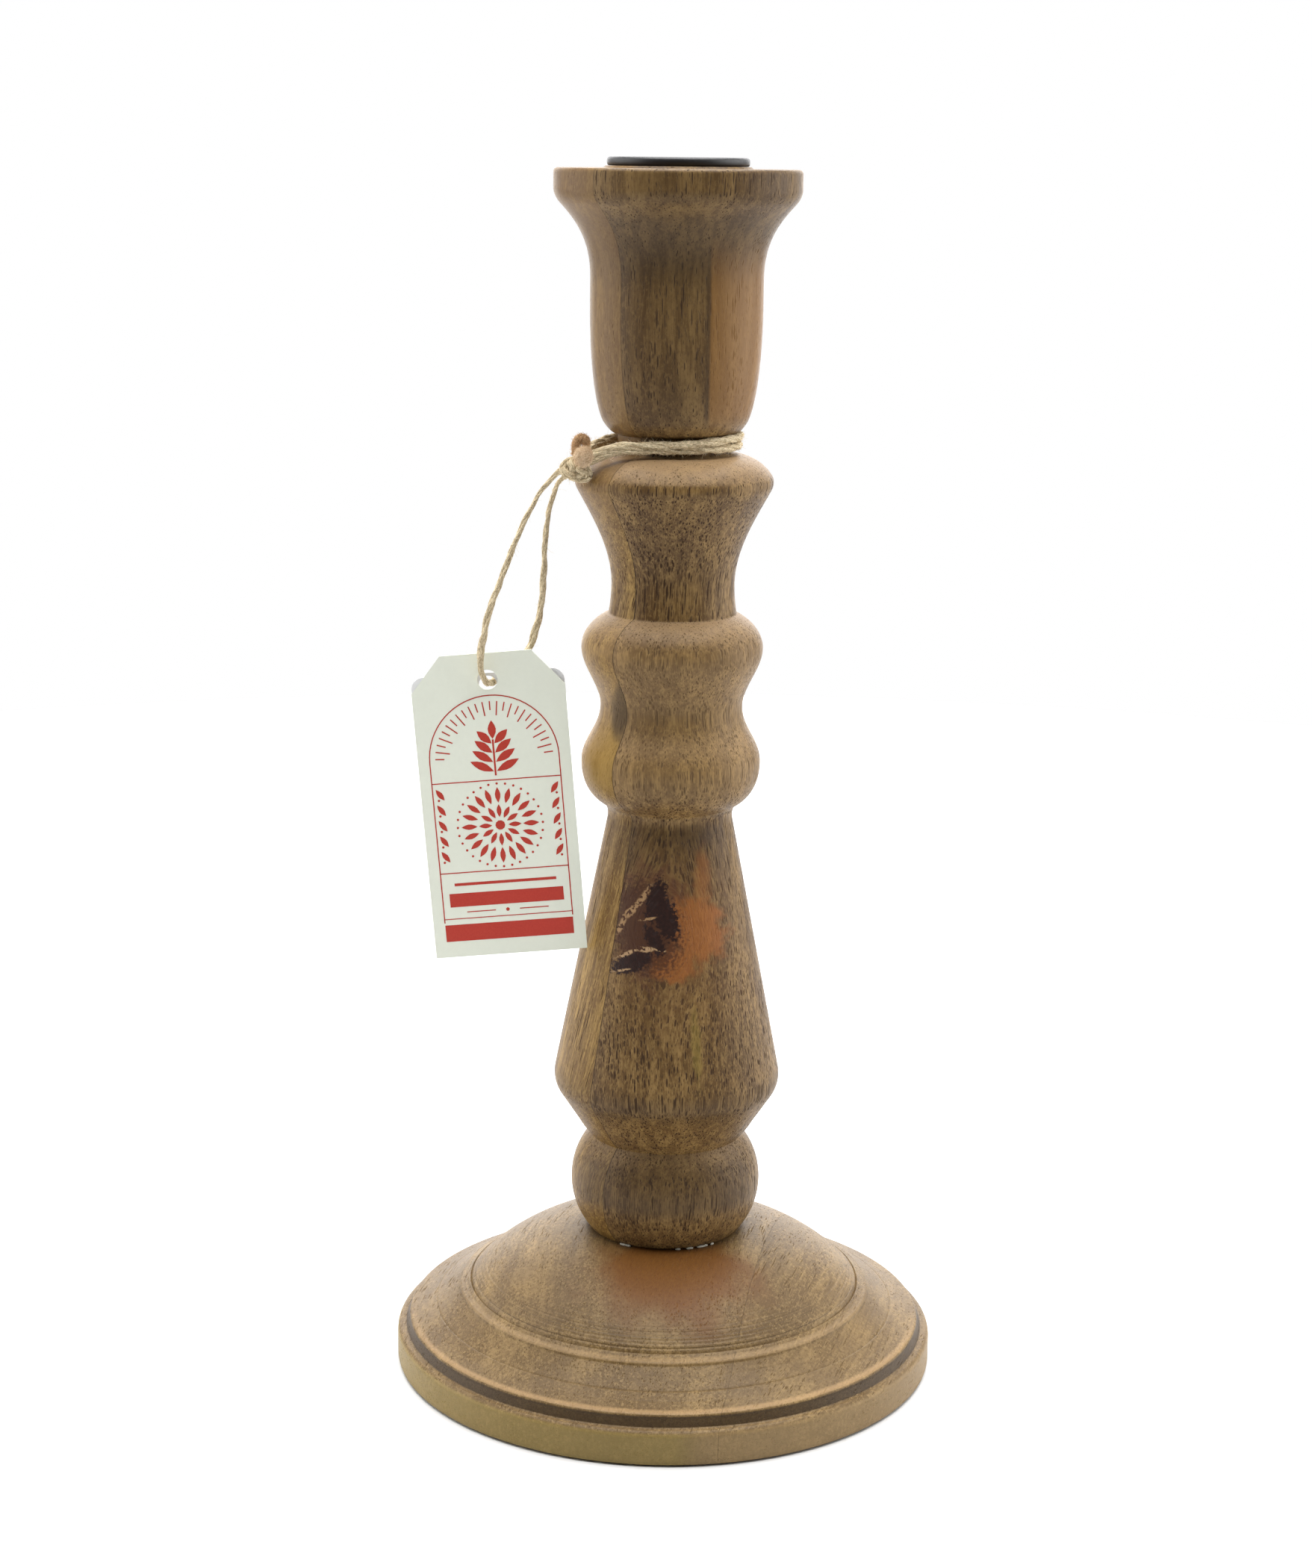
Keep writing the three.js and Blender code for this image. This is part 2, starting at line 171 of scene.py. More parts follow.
def turned(name, outline, columns, closed=True):
    """A solid of revolution. An outline that doesn't close starts and ends on the axis."""
    count = len(outline)
    around = [2 * pi * i / columns for i in range(columns)]
    points = [(r * cos(a), r * sin(a), z) for a in around for r, z in outline]
    faces = []
    for i in range(columns):
        here, there = i * count, (i + 1) % columns * count
        for j in range(count if closed else count - 1):
            k = (j + 1) % count
            faces.append((here + j, there + j, there + k, here + k))
    piece = make_mesh(name, points, faces)
    shape = bmesh.new()
    shape.from_mesh(piece.data)
    bmesh.ops.remove_doubles(shape, verts=shape.verts, dist=1e-7)
    bmesh.ops.recalc_face_normals(shape, faces=shape.faces)
    shape.to_mesh(piece.data)
    shape.free()
    return piece


def keep_side(piece, seam, side):
    """Cuts a piece along an upright seam plane and closes the cut. side is 1 or -1."""
    angle = radians(seam["angle"])
    normal = Vector((cos(angle), sin(angle), 0))
    spot = normal * (seam["offset"] + side * SEAM_GAP / 2) * MM
    shape = bmesh.new()
    shape.from_mesh(piece.data)
    everything = shape.verts[:] + shape.edges[:] + shape.faces[:]
    cut = bmesh.ops.bisect_plane(
        shape, geom=everything, dist=1e-8, plane_co=spot, plane_no=normal,
        clear_inner=side > 0, clear_outer=side < 0)
    rim = [part for part in cut["geom_cut"] if isinstance(part, bmesh.types.BMEdge)]
    bmesh.ops.triangle_fill(shape, use_beauty=True, edges=rim)
    bmesh.ops.recalc_face_normals(shape, faces=shape.faces)
    shape.to_mesh(piece.data)
    shape.free()
    smooth(piece.data, 38)
    return piece


# ---------- Shader nodes ----------
class Shader:
    """A material's node tree, with short calls that add a node and give back its output."""

    def __init__(self, name):
        self.material = bpy.data.materials.new(name)
        self.material.use_nodes = True
        self.tree = self.material.node_tree
        self.surface = self.tree.nodes["Principled BSDF"]

    def put(self, socket, value):
        if isinstance(value, bpy.types.NodeSocket):
            self.tree.links.new(value, socket)
        elif value is not None:
            socket.default_value = value

    def node(self, kind, *inputs, **settings):
        node = self.tree.nodes.new("ShaderNode" + kind)
        for name, value in settings.items():
            setattr(node, name, value)
        for socket, value in zip(node.inputs, inputs):
            self.put(socket, value)
        return node

    def finish(self, **sockets):
        """Fills in the surface's sockets and gives back the material."""
        for name, value in sockets.items():
            self.put(self.surface.inputs[name.replace("_", " ")], value)
        return self.material

    def place(self):
        """Where a point is on its piece, in millimetres."""
        coordinates = self.node("TexCoord").outputs["Object"]
        return self.node("Mapping", coordinates, None, None, (1000, 1000, 1000)).outputs[0]

    def mapped(self, vector, scale=(1, 1, 1), turn=(0, 0, 0), shift=(0, 0, 0)):
        return self.node("Mapping", vector, shift, turn, scale).outputs[0]

    def math(self, operation, *values):
        return self.node("Math", *values, operation=operation).outputs[0]

    def parts(self, vector):
        return self.node("SeparateXYZ", vector).outputs

    def vector(self, x, y, z):
        return self.node("CombineXYZ", x, y, z).outputs[0]

    def noise(self, vector, scale=1.0, detail=2.0, roughness=0.5):
        """Cloudy noise. Three scales, one for each axis, stretch it."""
        if isinstance(scale, tuple):
            vector, scale = self.mapped(vector, scale=scale), 1.0
        node = self.node("TexNoise")
        inputs = {"Vector": vector, "Scale": scale, "Detail": detail, "Roughness": roughness}
        for name, value in inputs.items():
            self.put(node.inputs[name], value)
        return node.outputs[0]

    def cells(self, vector):
        """Distance to the nearest of the scattered points of a unit grid."""
        node = self.node("TexVoronoi")
        self.put(node.inputs["Vector"], vector)
        self.put(node.inputs["Scale"], 1.0)
        return node.outputs["Distance"]

    def step(self, value, low, high):
        """0 below low and 1 above high, or the other way round where high is less than low."""
        ends = (low, high, 0.0, 1.0) if low < high else (high, low, 1.0, 0.0)
        return self.node("MapRange", value, *ends, interpolation_type="SMOOTHSTEP").outputs[0]

    def between(self, value, rise, fall):
        """1 between two limits and 0 outside. rise and fall are the stretches where it changes."""
        return self.product(self.step(value, *rise), self.step(value, *fall))

    def mix(self, amount, first, second):
        node = self.node("Mix", data_type="RGBA")
        for index, value in ((0, amount), (6, first), (7, second)):
            self.put(node.inputs[index], (*value, 1) if isinstance(value, tuple) else value)
        return node.outputs[2]

    def product(self, first, *others):
        for other in others:
            first = self.math("MULTIPLY", first, other)
        return first

    def total(self, first, *others):
        for other in others:
            first = self.math("ADD", first, other)
        return first

    def largest(self, first, *others):
        for other in others:
            first = self.math("MAXIMUM", first, other)
        return first

    def centred(self, value, middle, spread=1.0):
        """How far a value is from the middle, times the spread."""
        return self.product(self.math("SUBTRACT", value, middle), spread)

    def bump(self, height, depth, strength=1.0):
        node = self.node("Bump")
        for name, value in (("Height", height), ("Distance", depth * MM), ("Strength", strength)):
            self.put(node.inputs[name], value)
        return node.outputs[0]

    def blob(self, across, up, centre, size, tilt=0, soft=0.3, ragged=None):
        """A soft-edged patch, 1 inside and 0 outside, on a face whose coordinates are across and up."""
        cosine, sine = cos(radians(tilt)), sin(radians(tilt))
        x = self.math("SUBTRACT", across, centre[0])
        y = self.math("SUBTRACT", up, centre[1])
        along = self.total(self.product(x, cosine), self.product(y, sine))
        over = self.math("SUBTRACT", self.product(y, cosine), self.product(x, sine))
        flat = self.vector(self.math("DIVIDE", along, size[0]), self.math("DIVIDE", over, size[1]), 0.0)
        reach = self.node("VectorMath", flat, operation="LENGTH").outputs["Value"]
        if ragged is not None:
            reach = self.total(reach, ragged)
        return self.step(reach, 1 + soft, 1 - soft)


# ---------- Wood ----------
def grain_turn(direction):
    """The turn that takes a grain direction to Z."""
    return tuple(Vector(direction).rotation_difference(Vector((0, 0, 1))).to_euler("XYZ"))


def shaded(shade, colour, pattern, dark, dark_at, light, light_at, strength):
    """Lays dark over one end of a pattern and light over the other."""
    colour = shade.mix(shade.product(shade.step(pattern, *dark_at), strength), colour, dark)
    return shade.mix(shade.product(shade.step(pattern, *light_at), strength), colour, light)


def figure(shade, fibre, tones, calm):
    """The lines of the wood, from broad to fine: their colour, and the finest of them."""
    dark, middle, light = tones
    broad = shade.noise(fibre, (0.11, 0.11, 0.011))
    ribbon = shade.noise(fibre, (0.55, 0.55, 0.022))
    fine = shade.noise(fibre, (2.6, 2.6, 0.1), roughness=0.65)
    colour = shade.mix(shade.step(broad, 0.38, 0.6), dark, light)
    colour = shade.mix(0.4, colour, middle)
    colour = shade.mix(shade.product(shade.step(ribbon, 0.56, 0.4), 0.6), colour, dark)
    colour = shade.mix(shade.product(shade.step(ribbon, 0.5, 0.68), 0.4), colour, light)
    liveliness = shade.math("MULTIPLY_ADD", calm, -0.3, 0.65)
    return shaded(shade, colour, fine, dark, (0.6, 0.32), light, (0.5, 0.7), liveliness), fine


def pore_mask(shade, fibre, pore_size, calm):
    """Short dark pores that lie along the grain, in clusters, and fewer where the wood is calm."""
    clusters = shade.noise(fibre, (0.3, 0.3, 0.03))
    reach = shade.math("MULTIPLY_ADD", calm, -0.07, shade.math("MULTIPLY_ADD", clusters, 0.3, pore_size))
    small = shade.cells(shade.mapped(fibre, scale=(2.9, 2.9, 0.36)))
    large = shade.cells(shade.mapped(fibre, scale=(1.6, 1.6, 0.09), shift=(7.3, 2.1, 4.4)))
    small = shade.step(shade.math("SUBTRACT", small, reach), 0.05, -0.1)
    large = shade.step(shade.math("SUBTRACT", large, shade.product(reach, 1.05)), 0.03, -0.07)
    return shade.largest(shade.product(small, 0.8), large)


def glue_line(shade, x, y, seam, calm):
    """The dark line of a glued joint, which is fainter where the wood is calm."""
    angle = radians(seam["angle"])
    across = shade.total(shade.product(x, cos(angle)), shade.product(y, sin(angle)))
    gap = shade.math("ABSOLUTE", shade.math("SUBTRACT", across, seam["offset"]))
    line = shade.product(shade.step(gap, 0.16, 0.05), shade.math("MULTIPLY_ADD", calm, -0.75, 1.0))
    return shade.product(line, seam["darkness"])


def wood(name, grain, tones, seam, painted_top_light_strength=0.0, pore_size=0.13, pore_depth=0.92, mottle=0.0, pepper=0.35,
         calm_above=None, bend_round=None, patches=None):
    """Oiled mango wood. tones are its dark, middle and light colours. bend_round bends the grain
    coordinates round a knot, and patches gives rows laid over the plain wood: masks, which are
    multiplied, and then a colour."""
    shade = Shader(name)
    place = shade.place()
    x, y, z = shade.parts(place)
    dark, _, light = tones
    fibre = shade.mapped(bend_round(shade, x, y, z) if bend_round else place, turn=grain_turn(grain))
    wander = shade.product(shade.noise(fibre, (0.03, 0.03, 0.018), detail=1.0), 7.0)
    fibre = shade.node("VectorMath", fibre, shade.vector(wander, 0.0, 0.0)).outputs[0]
    calm = shade.step(z, calm_above, calm_above + CALM_RISE) if calm_above else 0.0

    colour, fine = figure(shade, fibre, tones, calm)
    if mottle:
        cloud = shade.noise(fibre, (0.09, 0.09, 0.035), detail=3.0)
        colour = shaded(shade, colour, cloud, dark, (0.6, 0.38), light, (0.5, 0.7), mottle)
    grit = shade.noise(place, (1.3, 1.3, 0.8), detail=3.0, roughness=0.7)
    colour = shaded(shade, colour, grit, dark, (0.5, 0.66), light, (0.48, 0.34), pepper)
    # Painted top light: faces that look up, below the rim's top, are mixed towards a pale tone, and their
    # pores show less there.
    facing_up = shade.parts(shade.node("NewGeometry").outputs["Normal"])[2]
    painted_top_light_mask = shade.product(shade.step(facing_up, 0.3, 0.95), shade.step(z, 290, 285), painted_top_light_strength)
    colour = shade.mix(painted_top_light_mask, colour, PAINTED_TOP_LIGHT_TONE)

    pores = pore_mask(shade, fibre, pore_size, calm)
    pore_tone = tuple(share * value for share, value in zip((0.4, 0.34, 0.28), dark))
    shown = shade.math("MULTIPLY_ADD", painted_top_light_mask, -0.9, pore_depth)
    colour = shade.mix(shade.product(pores, shown), colour, pore_tone)
    for *masks, tone in (patches(shade, x, y, z, fine) if patches else []):
        colour = shade.mix(shade.product(*masks), colour, tone)
    colour = shade.mix(glue_line(shade, x, y, seam, calm), colour, tuple(0.2 * value for value in dark))

    relief = shade.math("SUBTRACT", shade.product(fine, 0.3), pores)
    return shade.finish(
        Base_Color=colour, Normal=shade.bump(relief, 0.1, 0.7),
        Roughness=shade.math("MULTIPLY_ADD", pores, 0.3, 0.46), Specular_IOR_Level=0.2)


STEM_TONES = ((0.074, 0.037, 0.011), (0.17, 0.1, 0.033), (0.27, 0.165, 0.06))
AMBER_TONES = ((0.1, 0.048, 0.009), (0.23, 0.133, 0.033), (0.34, 0.21, 0.06))
BASE_TONES = ((0.1, 0.058, 0.019), (0.185, 0.115, 0.042), (0.275, 0.18, 0.073))

CALM_RISE = 30
# The pale tone of the painted top light on faces that look up.
PAINTED_TOP_LIGHT_TONE = (0.41, 0.275, 0.15)
BROWN = (0.045, 0.027, 0.013)

# The dead knot on the cone. Blobs are a centre (x, z), half sizes and a tilt in degrees.
CONE_KNOT = {"x": -1.5, "z": 117, "across": 10.5, "up": 15}
KNOT_CORE = (
    ((-3.2, 124.2), (2.2, 5.4), -14), ((-0.6, 120), (2.6, 5.2), 16),
    ((-3.4, 114.6), (1.8, 4), 30), ((-8.8, 109), (5.4, 2.2), 26),
)
KNOT_FLAKES = (
    ((-6.6, 124.4), (0.7, 4), -34), ((-9.4, 121), (0.8, 2.6), -44), ((-11.6, 117.4), (0.6, 2.4), -24),
)
KNOT_SLIVER = ((-5, 119.8), (2, 0.3), 14)
KNOT_CRACKS = (
    ((-10, 111), (3, 0.45), 30), ((-5.6, 112.5), (2.2, 0.6), 4),
    ((-2.2, 112.6), (1.6, 0.35), -8), ((-11.4, 106.8), (2.2, 0.25), 18),
)


def stem_shades(shade, y, z):
    """Darker bands in the sconce and the cove under its rim, on the front of the middle of the bun, on the
    lip and just above it on the front, and on the front of the top of the cone, and a lighter band over the
    two beads."""
    front = shade.step(y, -4, -14)
    return [
        (shade.step(z, 234, 246), 0.32, BROWN),
        (shade.between(z, (268, 276), (289.5, 285)), 0.42, BROWN),
        (shade.between(z, (43, 47), (58, 54)), front, 0.5, BROWN),
        (shade.between(z, (68, 72), (80, 76)), 0.25, BROWN),
        (shade.between(z, (76, 82), (100, 90)), front, 0.12, BROWN),
        (shade.between(z, (126, 134), (143, 140)), front, 0.3, BROWN),
        (shade.between(z, (146, 152), (190, 184)), 0.2, (0.4, 0.26, 0.12)),
    ]


def round_the_knot(shade, x, y, z):
    """Pushes the grain aside in front of the knot, so that its lines run round it."""
    aside = shade.math("SUBTRACT", x, CONE_KNOT["x"])
    over = shade.math("DIVIDE", aside, CONE_KNOT["across"])
    up = shade.math("DIVIDE", shade.math("SUBTRACT", z, CONE_KNOT["z"]), CONE_KNOT["up"])
    squared = shade.total(shade.product(over, over), shade.product(up, up))
    push = shade.math("DIVIDE", 1.0, shade.total(squared, 1.0))
    keep = shade.math("SUBTRACT", 1.0, shade.product(push, shade.step(y, -2, -12)))
    return shade.vector(shade.math("MULTIPLY_ADD", aside, keep, CONE_KNOT["x"]), y, z)


def knot_patches(shade, x, y, z, fine):
    """The dead knot on the front of the cone with the stained wood round it, and the orange stripe
    on the right of the sconce."""
    front = shade.step(y, -8, -12)
    here = shade.vector(x, 0.0, z)
    rough = shade.noise(here, 0.35, detail=3.0)
    ragged = shade.centred(rough, 0.5, 1.5)
    small = shade.noise(here, 1.3, detail=3.0)
    little = shade.centred(small, 0.5, 1.6)

    def blob(centre, size, tilt=0, soft=0.2, edge=ragged):
        return shade.product(shade.blob(x, z, centre, size, tilt, soft, edge), front)

    def any_blob(shapes, soft):
        return shade.largest(*[blob(*shape, soft, little) for shape in shapes])

    across = shade.product(shade.total(x, 3.5), 1.25)
    from_middle = shade.vector(across, 0.0, shade.math("SUBTRACT", z, 117))
    distance = shade.node("VectorMath", from_middle, operation="LENGTH").outputs["Value"]
    waves = shade.math("SINE", shade.total(shade.product(distance, 5.2), shade.product(rough, 9.0)))
    rings = shade.step(waves, 0.1, 0.95)
    broken = shade.step(shade.noise(here, 0.9, detail=4.0), 0.44, 0.5)

    halo = blob((-3.5, 118), (9.4, 13), 0, 0.3)
    inner = blob((-5.5, 117.5), (8, 11.2), 18, 0.25, little)
    orange = shade.largest(
        blob((7, 117), (6.2, 8), 24, 0.3), blob((1.2, 109), (5, 4.6), 10, 0.3),
        shade.product(blob((8, 128.5), (1.8, 7), 0, 0.6), 0.55))
    flakes = shade.largest(any_blob(KNOT_FLAKES, 0.35), blob(*KNOT_SLIVER, 0.4, little))
    on_sconce = shade.between(z, (236, 242), (284, 270))
    return stem_shades(shade, y, z) + [
        (blob((1, 116), (17, 20), 0, 0.5), 0.35, (0.12, 0.062, 0.026)),
        (halo, 0.8, (0.085, 0.034, 0.016)),
        (orange, 0.85, shade.mix(fine, (0.15, 0.046, 0.01), (0.33, 0.125, 0.033))),
        (rings, halo, 0.3, (0.15, 0.08, 0.036)),
        (inner, 0.75, (0.042, 0.016, 0.009)),
        (any_blob(KNOT_CORE, 0.16), shade.mix(small, (0.007, 0.005, 0.005), (0.035, 0.013, 0.009))),
        (flakes, broken, 0.9, (0.3, 0.18, 0.085)),
        (any_blob(KNOT_CRACKS, 0.4), broken, 0.95, (0.36, 0.23, 0.12)),
        (blob((5.5, 139), (5.5, 3), 0, 0.6), 0.4, (0.045, 0.028, 0.018)),
        (blob((7, 90), (1.1, 8), 5, 0.5), 0.5, (0.2, 0.14, 0.03)),
        (shade.step(x, 7.2, 8.2), on_sconce, 0.5, (0.27, 0.13, 0.034)),
        (shade.between(x, (6.2, 7.2), (8.2, 7.4)), on_sconce, 0.6, (0.06, 0.034, 0.014)),
    ]


def amber_patches(shade, x, y, z, fine):
    """The dark smear beside the seam in the cove, and the golden cheek of the lower bead."""
    front = shade.step(y, -4, -8)
    ragged = shade.centred(shade.noise(shade.vector(x, 0.0, z), (0.2, 0.2, 0.1), detail=3.0), 0.5, 1.6)
    cheek = shade.blob(x, z, (-17.5, 157), (5.5, 8), 0, 0.5, ragged)
    smear = shade.blob(x, z, (-12, 171), (2.3, 6.5), 0, 0.4, ragged)
    redder = shade.mix(fine, (0.085, 0.042, 0.014), (0.22, 0.125, 0.05))
    return stem_shades(shade, y, z) + [
        (shade.step(z, 212, 224), 0.5, redder),
        (cheek, front, 0.6, (0.26, 0.15, 0.022)),
        (smear, front, 0.8, (0.05, 0.028, 0.01)),
    ]


def base_patches(shade, x, y, z, fine):
    """The red-brown stain on the front of the dome, the darker cut face under the lip with painted shade
    over its end grain, the marks of the turning tool beside the groove, painted highlights on the edges of
    the bead and the lip, and the olive band."""
    rough = shade.noise(shade.vector(x, y, 0.0), 0.07, detail=3.0)
    dome = shade.step(z, 21, 23)
    stain = shade.blob(x, y, (3, -27), (19, 15), -8, 0.45, shade.centred(rough, 0.5, 1.4))
    riser = shade.between(z, (8.9, 9.3), (11.7, 11.2))
    by_height = shade.noise(shade.vector(0.0, 0.0, shade.product(z, 5.0)), detail=3.0)
    worked = shade.product(shade.between(z, (20.2, 20.8), (25.5, 22.5)), shade.step(y, -12, -34))
    near = shade.step(y, 5, -40)
    band = shade.step(z, 8.6, 7.9)
    return [
        (shade.step(rough, 0.62, 0.36), 0.45, (0.12, 0.076, 0.036)),
        (shade.step(y, -10, -34), dome, 0.22, (0.09, 0.056, 0.026)),
        (shade.between(z, (12, 12.6), (21, 18)), 0.22, (0.1, 0.058, 0.018)),
        (stain, dome, 0.92, shade.mix(fine, (0.075, 0.025, 0.004), (0.17, 0.068, 0.012))),
        (shade.step(by_height, 0.48, 0.62), worked, 0.75, (0.05, 0.031, 0.014)),
        # Dark end grain of the riser under the lip, darkened further as painted shade.
        (riser, 0.88, shade.mix(fine, (0.018, 0.01, 0.005), (0.075, 0.047, 0.022))),
        # Painted highlight along the edge of the bead, on the near side.
        (shade.between(z, (18.7, 19), (19.9, 19.5)), near, 0.35, (0.34, 0.225, 0.11)),
        # Painted highlight along the rounded top edge of the lip, on the near side.
        (shade.between(z, (11.7, 11.9), (12.5, 12.2)), near, 0.5, (0.38, 0.24, 0.11)),
        (band, shade.step(x, 12, 2), 0.6, (0.28, 0.205, 0.065)),
        (band, shade.step(x, 2, 12), 0.5, (0.32, 0.22, 0.105)),
    ]


# ---------- Wooden pieces ----------
BASE_LINES = [  # turning marks cut into the top of the base: radius and depth
    (48.3, 0.2), (47.5, 0.12), (46.8, 0.16), (46.1, 0.08), (45.2, 0.12), (44.1, 0.07), (42.6, 0.08),
    (50.4, 0.1), (54.6, 0.06), (58, 0.14), (60.8, 0.05), (66.3, 0.12),
]
LINE_WIDTH = 0.16
MARKS_ABOVE = 8.7
MARKS_OUTSIDE = 40


def scored(points, lines):
    """The outline with fine turning marks cut down into its upper side."""
    marked = []
    for radius, height in points:
        if height > MARKS_ABOVE and radius > MARKS_OUTSIDE:
            height -= sum(depth * exp(-((radius - line) / LINE_WIDTH) ** 2) for line, depth in lines)
        marked.append((radius, height))
    return marked


def base_outline():
    path = Outline(67.3, 0.4, step=0.24)
    path.bend((68, 0.4), (68, 1.6)).line(68, 7.2).bend((68, 8.4), (66.9, 8.8))
    path.line(65.8, 9.1).line(65, 11).bend((65, 11.8), (64.1, 12.1))
    path.bend((58, 14), (52.3, 18.4)).bend((52, 19.3), (51.2, 19.4)).line(49.5, 20.3).line(49.2, 20.05)
    path.arc((14.4, -14.1), 49, radians(45.4), radians(83.2))
    path.step = 2
    path.line(19.2, 34.5).line(9.8, 34.5).line(9.8, 12).line(3.3, 12).line(3.3, 8.4)
    path.line(8.6, 8.4).line(8.6, 1.6).line(60.3, 1.6).line(60.3, 0.4).line(66.8, 0.4)
    return scored(path.points, BASE_LINES)


def stem_outline():
    low = asin((BUN["middle"] - BUN["bottom"]) / BUN["curve"])
    high = asin((BUN["top"] - BUN["middle"]) / BUN["curve"])
    path = Outline(0, 45)
    path.line(3.3, 45).line(3.3, 12.3).line(9.5, 12.3).line(9.5, BUN["bottom"])
    path.arc((BUN["radius"] - BUN["curve"], BUN["middle"]), BUN["curve"], -low, high)
    path.line(19.6, 60.2).bend((20.8, 61.2), (22.3, 63.8)).line(27, 70.9)
    path.bend((28.6, 73.3), (28.1, 76.6)).line(15.5, 140.6)
    path.bend((14.9, 143.9), (16.9, 145)).bend((22, 148.2), (22, 155.4))
    path.curve((22, 160.4), (17.4, 163.6), (17.4, 169.2))
    path.curve((17.4, 174.2), (22.15, 178.6), (22.15, 183.6))
    path.curve((22.15, 187.2), (19.2, 190.2), (16.2, 191.7)).bend((15.5, 191.9), (15.5, 192.6))
    path.bend((14.95, 196), (14.95, 199)).curve((14.95, 207.5), (19.6, 215), (23.35, 221.9))
    path.bend((24.6, 224.1), (23.35, 225.8)).bend((20.6, 229.9), (14.6, 230.7))
    path.bend((13.7, 230.8), (13.7, 231.8))
    path.line(13.7, 235.2).bend((15.6, 235.4), (17.4, 238.4)).curve((19.3, 242.2), (20.5, 252), (20.6, 264))
    path.line(20.6, 272).curve((20.6, 280), (23.4, 284.6), (27.9, 289.3)).bend((29.3, 290.9), (29.4, 292.6))
    path.line(29.4, 296.2).bend((29.4, 297.4), (28.2, 297.4)).line(17.7, 297.4).line(17.2, 297.9)
    path.line(SOCKET["radius"], 297.9).line(SOCKET["radius"], SOCKET["bottom"]).line(0, SOCKET["bottom"])
    return path.points


def wooden_pieces():
    angle = radians(BASE_SEAM["angle"])
    across, along = -sin(angle), cos(angle)
    board = {
        "tones": BASE_TONES, "seam": BASE_SEAM, "pore_depth": 0.5, "mottle": 0.4, "pepper": 0.75,
        "patches": base_patches,
    }
    stave = {"seam": STEM_SEAM, "calm_above": 215}
    materials = [
        wood("wood_base_left", (across, along, 0), pore_size=0.07, **board),
        wood("wood_base_right", (across + 0.15, along, 0.12), pore_size=0.05, **board),
        wood("wood_stave_left", (0.2, 0.02, 1), AMBER_TONES, painted_top_light_strength=0.5, pore_size=0.06,
             patches=amber_patches, **stave),
        wood("wood_stave_right", (0.01, 0.03, 1), STEM_TONES, painted_top_light_strength=0.6,
             bend_round=round_the_knot, patches=knot_patches, **stave),
    ]
    base = base_outline(), 256, True, BASE_SEAM
    stem = stem_outline(), 176, False, STEM_SEAM
    pieces = (
        ("base_board_left", "oiled_wood", base, -1), ("base_board_right", "oiled_wood", base, 1),
        ("stem_stave_left", "amber_wood", stem, -1), ("stem_stave_right", "oiled_wood", stem, 1),
    )
    for (name, slot, (outline, columns, closed, seam), side), material in zip(pieces, materials):
        piece = keep_side(turned("wood_" + name, outline, columns, closed), seam, side)
        dress(piece, "candlestick", slot, material, name)


# ---------- Metal and felt ----------
def painted_metal():
    shade = Shader("black_paint")
    speck = shade.noise(shade.place(), 1.4, detail=3.0)
    worn = shade.product(shade.step(speck, 0.62, 0.74), 0.35)
    return shade.finish(
        Base_Color=shade.mix(worn, (0.011, 0.011, 0.013), (0.05, 0.045, 0.042)),
        Roughness=shade.math("MULTIPLY_ADD", speck, 0.3, 0.3), Normal=shade.bump(speck, 0.02, 0.4),
        Specular_IOR_Level=0.5, Metallic=0.0)


def zinc_plate():
    shade = Shader("zinc_plate")
    cloud = shade.noise(shade.place(), 0.7, detail=3.0)
    return shade.finish(
        Base_Color=shade.mix(cloud, (0.36, 0.37, 0.38), (0.62, 0.63, 0.65)), Metallic=1.0,
        Roughness=shade.math("MULTIPLY_ADD", cloud, 0.3, 0.22), Normal=shade.bump(cloud, 0.02, 0.4))


def felt_cloth():
    shade = Shader("felt_cloth")
    fluff = shade.noise(shade.place(), 1.6, detail=5.0, roughness=0.7)
    return shade.finish(
        Base_Color=shade.mix(fluff, (0.012, 0.02, 0.013), (0.045, 0.065, 0.045)), Roughness=0.95,
        Normal=shade.bump(fluff, 0.3, 0.9), Sheen_Weight=0.3)


def candle_cup():
    flange, radius, bore, edge = CUP["flange"], CUP["radius"], CUP["bore"], CUP["edge"]
    bottom, floor, under = CUP["bottom"], CUP["floor"], CUP["under"]
    path = Outline(0, bottom)
    path.line(radius - edge, bottom).bend((radius, bottom), (radius, bottom + edge))
    path.line(radius, under).line(flange - 0.5, under)
    path.bend((flange, under), (flange, 299)).bend((flange, TOTAL_HEIGHT), (flange - 1, TOTAL_HEIGHT))
    path.line(bore + edge, TOTAL_HEIGHT).bend((bore, TOTAL_HEIGHT), (bore, TOTAL_HEIGHT - edge))
    path.line(bore, floor + 0.6).bend((bore, floor), (bore - 0.6, floor)).line(0, floor)
    piece = turned("painted_cup", path.points, 128, closed=False)
    smooth(piece.data, 40)
    dress(piece, "cup", "black_metal", painted_metal(), "candle_cup")


def felt_disc():
    radius, thick = FELT["radius"], FELT["thickness"]
    path = Outline(0, 0, step=1.0)
    path.line(radius - 0.5, 0).bend((radius, 0), (radius, 0.6))
    path.bend((radius, thick), (radius - 0.6, thick)).line(0, thick)
    piece = turned("felt_disc", path.points, 160, closed=False)
    smooth(piece.data)
    dress(piece, "candlestick", "felt", felt_cloth(), "base_felt")


def screw_and_washer():
    zinc = zinc_plate()
    for name in ("base_screw", "screw_washer"):
        cover(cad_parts[name], zinc)


# ---------- Twine ----------
def anywhere(chance):
    """A random point of the cube that reaches from -1 to 1."""
    return Vector([chance.uniform(-1, 1) for _ in range(3)])


